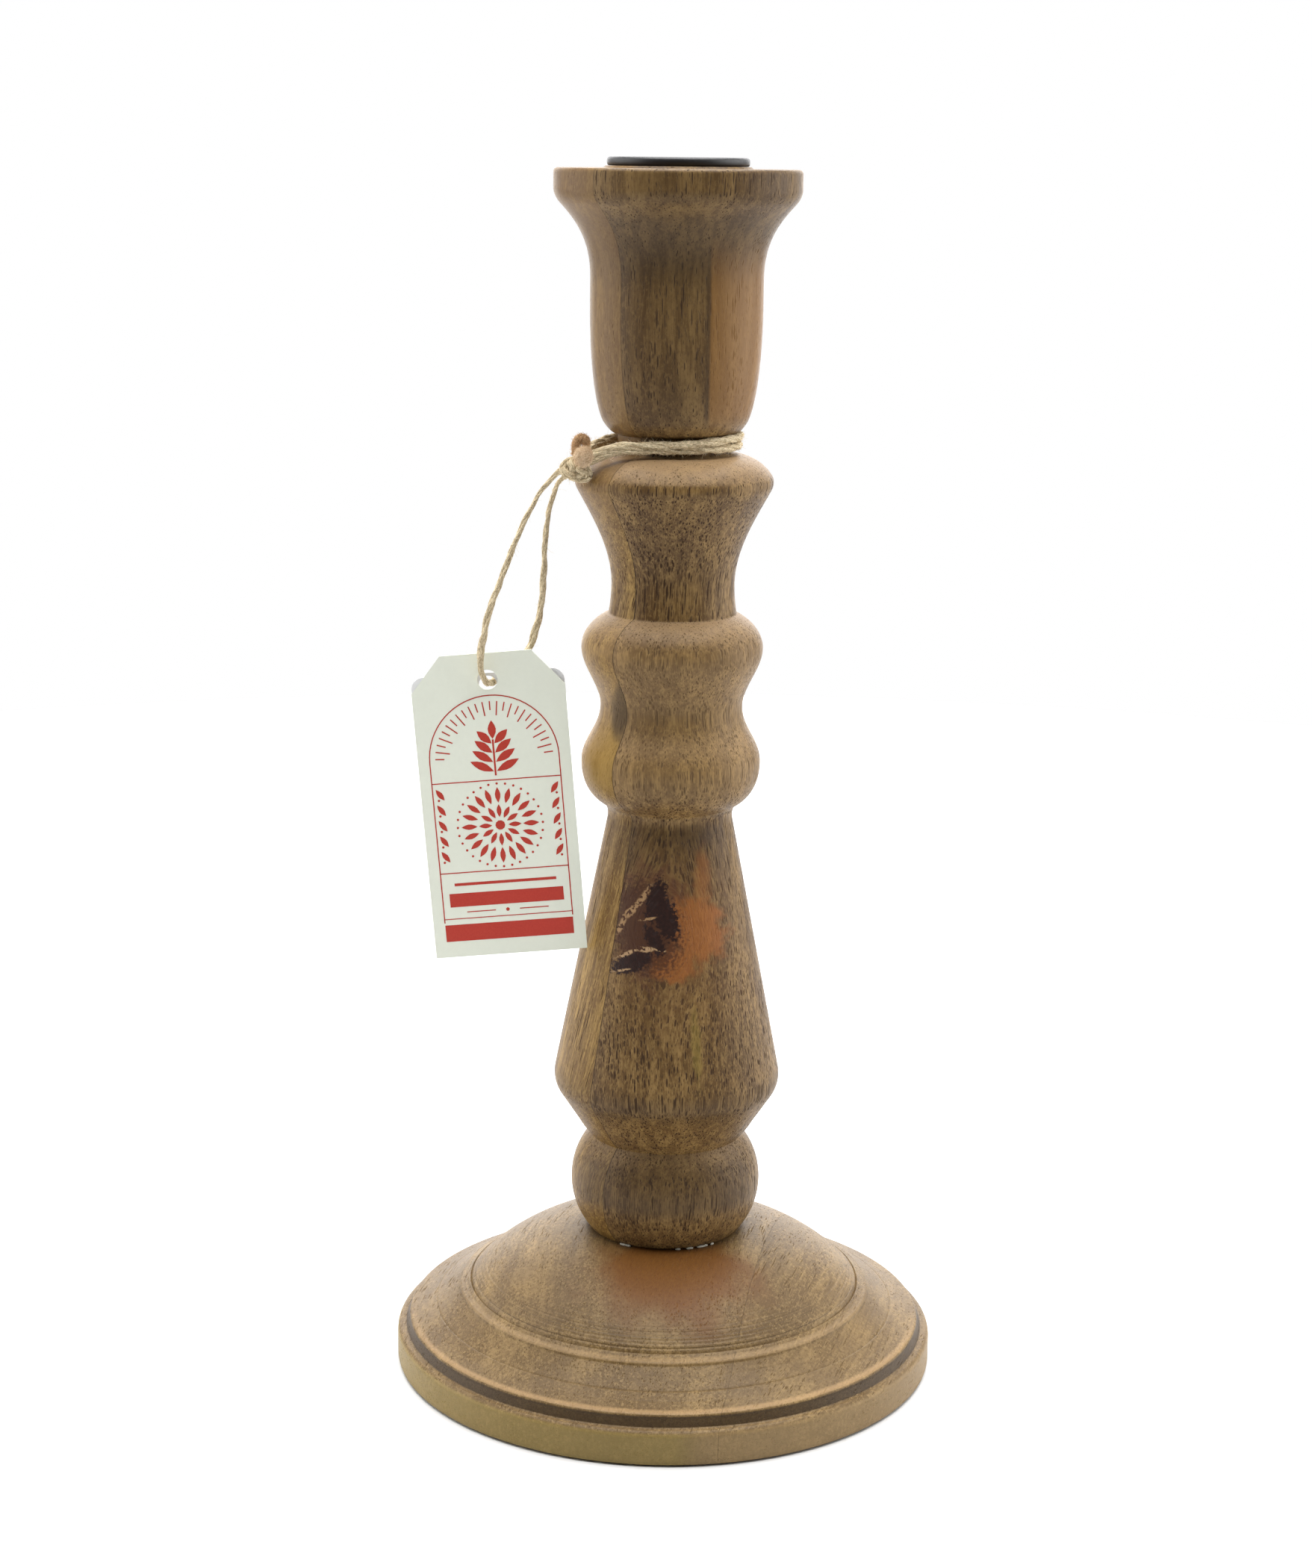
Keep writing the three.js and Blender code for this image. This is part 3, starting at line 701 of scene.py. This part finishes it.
def evenly(points, spacing):
    """Points every `spacing` along the centripetal Catmull-Rom curve through the given ones."""
    given = np.array(points, float)
    given = np.vstack([2 * given[0] - given[1], given, 2 * given[-1] - given[-2]])
    dense = []
    for four in zip(given, given[1:], given[2:], given[3:]):
        knots = np.cumsum([0] + [np.linalg.norm(b - a) ** 0.5 for a, b in zip(four, four[1:])])
        for t in np.linspace(knots[1], knots[2], 20, endpoint=False):
            level = list(four)
            for spans in (((0, 1), (1, 2), (2, 3)), ((0, 2), (1, 3)), ((1, 2),)):
                level = [((knots[b] - t) * level[i] + (t - knots[a]) * level[i + 1]) / (knots[b] - knots[a])
                         for i, (a, b) in enumerate(spans)]
            dense.append(level[0])
    dense.append(given[-2])
    dense = np.array(dense)
    travelled = distances(dense)
    stops = np.linspace(0, travelled[-1], max(2, round(travelled[-1] / spacing) + 1))
    return np.stack([np.interp(stops, travelled, dense[:, k]) for k in range(3)], axis=1)


def distances(route):
    """How far along the route each of its points is."""
    return np.concatenate([[0], np.cumsum(np.linalg.norm(np.diff(route, axis=0), axis=1))])


def length_of(points):
    return float(np.linalg.norm(np.diff(points, axis=0), axis=1).sum())


def frames_along(points):
    """A tangent and two sideways directions at each point, turning as little as possible."""
    tangents = np.gradient(points, axis=0)
    tangents /= np.linalg.norm(tangents, axis=1)[:, None]
    side = np.cross(tangents[0], (0.3, 0.5, 0.8))
    sides = []
    for tangent in tangents:
        side = side - tangent * side.dot(tangent)
        side /= np.linalg.norm(side)
        sides.append(side)
    sides = np.array(sides)
    return tangents, sides, np.cross(tangents, sides)


class Tubes:
    """Collects round tubes into one mesh, with where each point lies on its own tube."""

    def __init__(self):
        self.points, self.faces, self.marks = [], [], []

    def add(self, route, radii, sides, seed, hair=False):
        _, first, second = frames_along(route)
        start, count = len(self.points), len(route)
        travelled = distances(route)
        for i in range(count):
            for j in range(sides):
                angle = 2 * pi * j / sides
                reach = radii[i] if np.isscalar(radii[i]) else radii[i][j]
                out = cos(angle) * first[i] + sin(angle) * second[i]
                self.points.append(route[i] + out * reach)
                around = HAIR_MARK if hair else (cos(angle), sin(angle))
                self.marks.append((travelled[i] + seed, *around))
        for i in range(count - 1):
            for j in range(sides):
                a, b = start + i * sides + j, start + i * sides + (j + 1) % sides
                self.faces.append((a, b, b + sides, a + sides))
        self.faces.append(tuple(start + j for j in reversed(range(sides))))
        self.faces.append(tuple(start + (count - 1) * sides + j for j in range(sides)))

    def build(self, name):
        piece = make_mesh(name, self.points, self.faces)
        smooth(piece.data, 70)
        marks = piece.data.attributes.new("strand", "FLOAT_VECTOR", "POINT")
        marks.data.foreach_set("vector", np.array(self.marks, float).ravel())
        return piece


def add_twine(tubes, route, chance, diameter):
    """Lays twisted plies along a route whose points are evenly spaced."""
    _, first, second = frames_along(route)
    travelled = distances(route)
    whole_turn = chance.uniform(0, 6.28)
    for ply in range(PLIES):
        wobble = [chance.uniform(0, 6.28) for _ in range(4)]
        twist = 2 * pi * (ply / PLIES + travelled / TWIST)
        turn = whole_turn + twist + 0.5 * np.sin(travelled / 9 + wobble[0])
        offset = 0.22 * diameter * (1 + 0.12 * np.sin(travelled / 3.1 + wobble[1]))
        centre = route + (np.cos(turn)[:, None] * first + np.sin(turn)[:, None] * second) * offset[:, None]
        uneven = 0.1 * np.sin(travelled / 2.3 + wobble[2]) + 0.05 * np.sin(travelled / 0.7)
        radii = []
        for along, reach in zip(travelled, 0.3 * diameter * (1 + uneven)):
            start = 0.9 * along + wobble[3]
            ridges = [sin(6 * pi * j / PLY_SIDES + start) for j in range(PLY_SIDES)]
            radii.append([reach * (1 + 0.1 * ridge + 0.06 * chance.uniform(-1, 1)) for ridge in ridges])
        tubes.add(centre, radii, PLY_SIDES, 40 * ply + wobble[0])


def add_fibre(tubes, start, aim, chance, length, radius, curl):
    """One stray fibre: a hair that leaves start along aim and bends a little."""
    sideways = anywhere(chance)
    sideways = np.array(sideways - sideways.project(Vector(aim)))
    steps = np.linspace(0, 1, 6)[:, None]
    route = start + np.array(aim) * steps * length + sideways * steps ** 2 * length * curl
    tubes.add(route, [radius * (1 - 0.6 * t) for t in steps[:, 0]], 3, chance.uniform(0, 90), hair=True)


def add_fuzz(tubes, route, chance, per_mm, diameter=TWINE):
    """Stray fibres all along a route, lying close to the twine or standing off it."""
    tangents, first, second = frames_along(route)
    for _ in range(int(length_of(route) * per_mm)):
        i = chance.randrange(2, len(route) - 2)
        angle = chance.uniform(0, 2 * pi)
        out = cos(angle) * first[i] + sin(angle) * second[i]
        aim = tangents[i] * chance.choice((-1, 1)) + out * chance.uniform(0, 0.6)
        aim /= np.linalg.norm(aim)
        length = min(chance.expovariate(1 / FIBRE) + 0.3, 3 * FIBRE)
        root = route[i] + out * 0.4 * diameter
        add_fibre(tubes, root, aim, chance, length, chance.uniform(0.025, 0.045), 0.8)


def fibres_along(name, route, chance, per_mm, diameter):
    tubes = Tubes()
    add_fuzz(tubes, route, chance, per_mm, diameter)
    return tubes.build(name)


def jute(name, dark, light):
    """Twine with darker and lighter stretches. Its stray hairs are lighter still, which is painted light.
    """
    shade = Shader(name)
    marks = shade.node("Attribute", attribute_name="strand").outputs["Vector"]
    fibres = shade.noise(marks, (0.9, 3.2, 3.2), detail=3.0, roughness=0.7)
    patchy = shade.noise(marks, (0.12, 0.6, 0.6), detail=1.0)
    frayed = shade.noise(shade.place(), 2.4, detail=3.0, roughness=0.7)
    colour = shade.mix(shade.step(fibres, 0.34, 0.66), dark, light)
    colour = shade.mix(shade.product(shade.step(patchy, 0.5, 0.75), 0.35), colour, dark)
    colour = shade.mix(shade.product(shade.step(frayed, 0.47, 0.33), 0.6), colour, dark)
    colour = shade.mix(shade.product(shade.step(frayed, 0.53, 0.68), 0.5), colour, light)
    # Painted light: stray hairs are lightened to stand in for the light that thin fibres let through and
    # catch.
    hair = shade.product(shade.step(shade.parts(marks)[1], 1.5, 2.5), 0.85)
    colour = shade.mix(hair, colour, tuple(min(1.1 * value, 0.95) for value in light))
    return shade.finish(
        Base_Color=colour, Roughness=0.85, Normal=shade.bump(fibres, 0.14, 0.9), Specular_IOR_Level=0.3)


def neck_route(side, drop):
    """One turn round the neck, from the knot round the back and to the knot again. side is 1 for
    the upper turn, which lies a little further out, and -1 for the lower one."""
    facing = atan2(KNOT[1], KNOT[0])
    leave = radians(NECK_LOOP["leave"])
    radius = NECK_LOOP["radius"] + (NECK_LOOP["upper_out"] if side > 0 else 0)

    def on_neck(angle):
        x, y = radius * cos(angle), radius * sin(angle)
        apart = NECK_LOOP["apart"] + NECK_LOOP["spread"] * x
        return np.array((x, y, NECK_LOOP["height"] + side * apart + NECK_LOOP["tilt"] * max(x, 0)))

    points = [on_neck(facing + leave + 2 * (pi - leave) * i / 24) for i in range(25)]
    for end in (1, -1):
        start = on_neck(facing + end * leave)
        way = []
        for reach, fall in ((0.3, 0.04), (0.52, 0.12), (0.7, 0.4), (0.88, 0.8)):
            spot = start + (np.array(KNOT) - start) * reach
            way.append((spot[0], spot[1], start[2] - fall * drop))
        points = way[::-1] + points if end == 1 else points + way
    return evenly(points, STRAND_STEP)


def overhand_knot(chance):
    """A small lump of twine: two interlaced trefoils and two turns round them."""
    tubes = Tubes()
    lump = []
    knot = np.array(KNOT)
    angles = np.linspace(0, 2 * pi, 90)
    trefoil = np.stack([
        np.sin(angles) + 2 * np.sin(2 * angles), np.cos(angles) - 2 * np.cos(2 * angles),
        -np.sin(3 * angles)], axis=1)
    loop = np.stack([np.cos(angles), np.sin(angles), 0.35 * np.sin(2 * angles)], axis=1)
    for shape, size, turn, shift in (
            (trefoil, (0.8, 0.62, 1.0), (70, 20, 10), (0.3, 0, 0)),
            (trefoil, (0.5, 0.62, 1.1), (15, 65, 80), (0.6, -0.4, -0.3)),
            (loop, (2.3, 1.9, 1.5), (70, -24, 30), (-0.9, -0.2, 0.1)),
            (loop, (2.7, 1.7, 1.3), (84, 12, -14), (0.5, -0.8, -0.7))):
        spin = np.array(Euler([radians(a) for a in turn]).to_matrix())
        route = (shape * np.array(size)) @ spin.T + knot + np.array(shift)
        route = evenly(route[::3], STRAND_STEP)
        add_twine(tubes, route, chance, TWINE)
        lump.append(route)
    for end, past in ((TAG_STRING[0], TAG_STRING[1]), (TAG_STRING[-1], TAG_STRING[-2])):
        end = np.array(end) * 0.85 + np.array(past) * 0.15
        add_twine(tubes, evenly([KNOT, (end + knot) / 2, end], STRAND_STEP), chance, 1.35)
    return tubes.build("overhand_knot"), lump


def tuft(name, route, thick, chance, count):
    """Twine that has opened into soft fluff: a lumpy core with short curly fibres lying over it.
    thick gives the radius at a share of the way along."""
    tubes = Tubes()
    core = evenly(route, 0.16)
    tangents, first, second = frames_along(core)
    radii = [thick(share) for share in np.linspace(0, 1, len(core))]
    lumps = [[r * chance.uniform(0.86, 1.08) for _ in range(TUFT_SIDES)] for r in radii]
    tubes.add(core, lumps, TUFT_SIDES, 3)
    for _ in range(count):
        i = chance.randrange(len(core))
        angle = chance.uniform(0, 2 * pi)
        out = cos(angle) * first[i] + sin(angle) * second[i]
        over = cos(angle) * second[i] - sin(angle) * first[i]
        aim = tangents[i] * chance.uniform(-1, 1) + over * chance.uniform(-1, 1)
        aim += out * chance.uniform(-0.15, 0.2)
        aim /= np.linalg.norm(aim)
        root = core[i] + out * radii[i] * chance.uniform(0.9, 1.04)
        add_fibre(tubes, root, aim, chance, chance.uniform(0.4, 0.95), chance.uniform(0.04, 0.07), 0.6)
    return tubes.build(name)


def cut_ends(chance):
    """The upper end is folded over in a hook and the lower one is a ball of fluff."""
    def hook(share):
        return 1.02 * min(1, sqrt(max(0.05, 4 * (1 - share))))

    def ball(share):
        return 2.15 * sqrt(max(0.03, 1 - (2 * share - 1) ** 2))

    cut = jute("jute_cut", (0.3, 0.165, 0.07), (0.56, 0.37, 0.205))
    fluff = jute("jute_fluff", (0.42, 0.28, 0.155), (0.68, 0.53, 0.36))
    for end, route, thick, count, material in (
            ("twine_end_upper", CUT_END_UPPER, hook, 1500, cut),
            ("twine_end_lower", CUT_END_LOWER, ball, 1900, fluff)):
        dress(tuft("tuft_" + end, route, thick, chance, count), "neck_tie", "cut_jute", material, end)


def neck_twine(tan, chance):
    for name, side, drop in (("neck_twine_upper", 1, 3.9), ("neck_twine_lower", -1, 4.1)):
        route = neck_route(side, drop)
        tubes = Tubes()
        add_twine(tubes, route, chance, 2)
        dress(tubes.build("twine_" + name), "neck_tie", "jute", tan, name)
        dress(fibres_along("fuzz_" + name, route, chance, 16, 2), "neck_tie", "jute", tan)
    knot, lump = overhand_knot(chance)
    dress(knot, "neck_tie", "jute", tan, "twine_knot")
    tubes = Tubes()
    for route in lump:
        add_fuzz(tubes, route, chance, 12)
    dress(tubes.build("fuzz_knot"), "neck_tie", "jute", tan)
    cut_ends(chance)


def tag_cord(tan, chance):
    """The hanging string, thicker towards the tag, which carries the two cards."""
    route = evenly(TAG_STRING, STRAND_STEP)
    tubes = Tubes()
    (top, thin), (foot, thick) = STRING_WIDTHS
    fallen = np.clip((top - route[:, 2]) / (top - foot), 0, 1)
    add_twine(tubes, route, chance, thin + (thick - thin) * fallen)
    string = dress(tubes.build("hanging_string"), "tag", "jute", tan, "tag_string")
    fuzz = dress(fibres_along("fuzz_hanging_string", route, chance, 3, STRING), "tag", "jute", tan)
    length_of(route) * MM


def twine_pieces():
    chance = random.Random(7)
    tan = jute("jute_fibre", (0.3, 0.225, 0.12), (0.86, 0.73, 0.5))
    neck_twine(tan, chance)
    tag_cord(tan, chance)


# ---------- Tag ----------
def paper(name, tone):
    shade = Shader(name)
    place = shade.place()
    pulp = shade.noise(place, 0.9, detail=5.0, roughness=0.65)
    grime = shade.noise(place, 0.05)
    colour = shade.mix(pulp, tuple(0.93 * value for value in tone), tone)
    dirty = shade.product(shade.step(grime, 0.4, 0.75), 0.25)
    colour = shade.mix(dirty, colour, tuple(0.9 * value for value in tone))
    return shade.finish(
        Base_Color=colour, Roughness=0.75, Normal=shade.bump(pulp, 0.03, 0.5), Specular_IOR_Level=0.3)


def specked(name, size, first, second):
    """A matt material that goes from one colour to another in specks."""
    shade = Shader(name)
    speck = shade.noise(shade.place(), size, detail=3.0)
    return shade.finish(Base_Color=shade.mix(speck, first, second), Roughness=0.6)


class Print:
    """Flat printed shapes on the tag's face, a hair proud of it. Across is measured from the
    middle of the tag and down from its top edge."""

    def __init__(self):
        self.points, self.faces = [], []
        self.face = TAG["top"][1] - TAG["thickness"]
        self.lean = radians(TAG["lean"])

    def spot(self, across, down, lift):
        x = TAG["top"][0] + across * cos(self.lean) + down * sin(self.lean)
        z = TAG["top"][2] + across * sin(self.lean) - down * cos(self.lean)
        return x, self.face - lift, z

    def patch(self, corners):
        """A flat filled shape with its corners in order."""
        start, count = len(self.points), len(corners)
        for lift in (0.005, 0.035):
            self.points += [self.spot(a, d, lift) for a, d in corners]
        self.faces.append(tuple(start + i for i in range(count)))
        self.faces.append(tuple(start + count + i for i in reversed(range(count))))
        for i in range(count):
            j = (i + 1) % count
            self.faces.append((start + i, start + count + i, start + count + j, start + j))

    def bar(self, half, top, foot):
        self.patch([(-half, top), (half, top), (half, foot), (-half, foot)])

    def stroke(self, line, width):
        """A line of even width through the given points, laid as short pieces."""
        for (a, b), (c, d) in zip(line, line[1:]):
            length = dist((a, b), (c, d))
            out = ((d - b) / length * width / 2, (a - c) / length * width / 2)
            more = ((c - a) / length * width * 0.2, (d - b) / length * width * 0.2)
            self.patch([
                (a + out[0] - more[0], b + out[1] - more[1]), (c + out[0] + more[0], d + out[1] + more[1]),
                (c - out[0] + more[0], d - out[1] + more[1]), (a - out[0] - more[0], b - out[1] - more[1])])

    def dot(self, across, down, radius):
        turns = [2 * pi * i / 10 for i in range(10)]
        self.patch([(across + radius * cos(t), down + radius * sin(t)) for t in turns])

    def leaf(self, across, down, length, width, angle):
        """A pointed leaf that starts at the given point and grows at an angle from straight up."""
        lean = radians(angle)
        shares = (0, 0.15, 0.35, 0.55, 0.75, 0.9, 1)
        edge = [(width / 2 * sin(pi * t), length * t) for t in shares]
        edge += [(-w, up) for w, up in reversed(edge[1:-1])]
        self.patch([(across + w * cos(lean) + up * sin(lean),
                     down + w * sin(lean) - up * cos(lean)) for w, up in edge])


def arch(half, top, foot):
    """Points of an arch with a round head, from its left foot over the top to its right foot."""
    turns = [pi * i / 32 for i in range(33)]
    head = [(-half * cos(turn), top + half - half * sin(turn)) for turn in turns]
    return [(-half, foot), *head, (half, foot)]


def print_sprig(ink):
    """Rays under the arch, and a stem with leaves."""
    centre, outer = 26.2, 14.3
    for i in range(25):
        turn = pi * (i + 0.5) / 25
        inner = 10.9 if i % 2 else 12.2
        ink.stroke([(-reach * cos(turn), centre - reach * sin(turn)) for reach in (inner, outer)], 0.3)
    ink.stroke([(0, 30.2), (0, 21.4)], 0.45)
    ink.leaf(0, 21.2, 4.6, 2, 0)
    for i in range(4):
        for side in (-1, 1):
            ink.leaf(side * 0.35, 29.2 - 2.3 * i, 6.2 - 0.5 * i, 2, side * (64 - 6 * i))


def print_rosette(ink, middle):
    """Two rings of petals in a ring of dots."""
    for start, count, length, width in ((5.6, 20, 3.9, 1.35), (2, 12, 3.2, 1.2)):
        for i in range(count):
            turn = 2 * pi * i / count
            across, down = start * sin(turn), middle - start * cos(turn)
            ink.leaf(across, down, length, width, degrees(turn))
    ink.dot(0, middle, 1.2)
    ring = 10.4
    for i in range(32):
        turn = 2 * pi * i / 32
        ink.dot(ring * cos(turn), middle + ring * sin(turn), 0.3)


def tag_print():
    ink = Print()
    half = 15.75
    ink.stroke(arch(half, 10.4, 66.5), 0.28)
    print_sprig(ink)
    for down in (31.4, 54):
        ink.stroke([(-half, down), (half, down)], 0.26)
    print_rosette(ink, 42.7)
    for side in (-1, 1):
        for row in range(5):
            ink.leaf(side * 13, 35.6 + 3.9 * row, 3.4, 1.3, side * 35)
            ink.dot(side * 14.4, 35.6 + 3.9 * row, 0.3)
    ink.bar(12.5, 56.6, 57.3)
    ink.bar(14, 59.2, 62.6)
    for side in (-1, 1):
        ink.stroke([(side * 3, 64), (side * 10, 64)], 0.25)
    ink.dot(0, 64, 0.45)
    ink.stroke([(-half, 65.6), (half, 65.6)], 0.22)
    ink.bar(half, 67.1, 71.3)
    piece = make_mesh("tag_print", ink.points, ink.faces)
    ink_material = specked("red_ink", 2.5, (0.4, 0.016, 0.006), (0.5, 0.036, 0.014))
    dress(piece, "tag", "card", ink_material)


def paper_tags():
    for name, tone in (("swing_tag", (0.8, 0.83, 0.72)), ("backing_card", (0.82, 0.82, 0.83))):
        cover(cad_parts[name], paper("paper_" + name, tone))
    tag_print()


# ---------- Glue ----------
GLUE_RING = {"radius": 19.3, "height": 34.72}
GLUE_CRUMBS = (  # the direction from the axis in degrees, and the size
    (-122, 0.55), (-118, 0.4), (-80, 0.35), (-71, 0.5), (-62, 0.6), (-58, 0.35), (-52, 0.3), (100, 0.4),
)


def glue_flecks():
    """Crumbs of dried glue squeezed out between the bun and the base."""
    glue = specked("dried_glue", 2, (0.36, 0.33, 0.26), (0.62, 0.6, 0.52))
    chance = random.Random(3)
    shape = bmesh.new()
    radius = GLUE_RING["radius"]
    for heading, size in GLUE_CRUMBS:
        angle = radians(heading)
        spot = Vector((radius * cos(angle), radius * sin(angle), GLUE_RING["height"]))
        turn = Matrix.Rotation(angle, 4, "Z") @ Matrix.Diagonal((0.5 * size, 1.9 * size, 0.32, 1))
        place = Matrix.Translation(spot) @ turn
        crumb = bmesh.ops.create_icosphere(shape, subdivisions=3, radius=1, matrix=place)
        for point in crumb["verts"]:
            point.co += anywhere(chance) * 0.05
    bmesh.ops.scale(shape, vec=(MM, MM, MM), verts=shape.verts)
    mesh = bpy.data.meshes.new("glue_flecks")
    shape.to_mesh(mesh)
    shape.free()
    smooth(mesh)
    dress(add_object("glue_flecks", mesh), "candlestick", "oiled_wood", glue)


# ---------- Studio ----------
def make_camera():
    data = bpy.data.cameras.new("camera")
    data.sensor_fit = "VERTICAL"
    data.sensor_height = 36
    data.lens = CAMERA["lens"]
    data.clip_start = 0.02
    camera = add_object("camera", data)
    turn = Matrix.Rotation(radians(90 - CAMERA["pitch"]), 4, "X")
    turn = turn @ Matrix.Rotation(radians(CAMERA["roll"]), 4, "Z")
    spot = Vector((CAMERA["x"], -CAMERA["distance"], CAMERA["height"])) * MM
    camera.matrix_world = Matrix.Translation(spot) @ turn
    scene.camera = camera


def make_floor():
    radius, sides = 900, 96
    turns = [2 * pi * i / sides for i in range(sides)]
    edge = [(radius * cos(turn), radius * sin(turn), 0) for turn in turns]
    floor = make_mesh("floor", edge, [tuple(range(sides))])
    shade = Shader("floor_white")
    cloud = shade.noise(shade.place(), scale=0.01)
    white = shade.mix(cloud, (0.7, 0.7, 0.7), (0.74, 0.74, 0.74))
    cover(floor, shade.finish(Base_Color=white, Roughness=0.9))


def area_light(name, spot, aim, size, power):
    data = bpy.data.lights.new(name, "AREA")
    data.shape = "RECTANGLE"
    data.size, data.size_y = size
    data.energy = power
    light = add_object(name, data)
    light.visible_camera = False
    light.location = spot
    light.rotation_euler = (Vector(aim) - Vector(spot)).to_track_quat("-Z", "Y").to_euler()


def make_lights():
    middle = (0, 0, 0.15)
    area_light("left_softbox", (-0.75, 0.1, 0.35), middle, (0.9, 0.9), 6.8)
    area_light("right_softbox", (0.75, 0.1, 0.35), middle, (0.9, 0.9), 7.6)
    area_light("top_softbox", (0, 0.05, 1.0), middle, (1.0, 1.0), 23)
    area_light("back_softbox", (0, 1.0, 0.4), middle, (1.4, 0.9), 14)
    world = bpy.data.worlds.new("studio")
    world.use_nodes = True
    nodes, links = world.node_tree.nodes, world.node_tree.links
    seen = nodes.new("ShaderNodeLightPath").outputs["Is Camera Ray"]
    strength = nodes.new("ShaderNodeMapRange")
    links.new(seen, strength.inputs["Value"])
    strength.inputs["To Min"].default_value = 0.04
    strength.inputs["To Max"].default_value = 1.0
    links.new(strength.outputs[0], nodes["Background"].inputs["Strength"])
    nodes["Background"].inputs["Color"].default_value = (1, 1, 1, 1)
    scene.world = world
    scene.view_settings.view_transform = "Standard"


make_camera()
twine_pieces()
wooden_pieces()
candle_cup()
felt_disc()
screw_and_washer()
glue_flecks()
paper_tags()
make_floor()
make_lights()
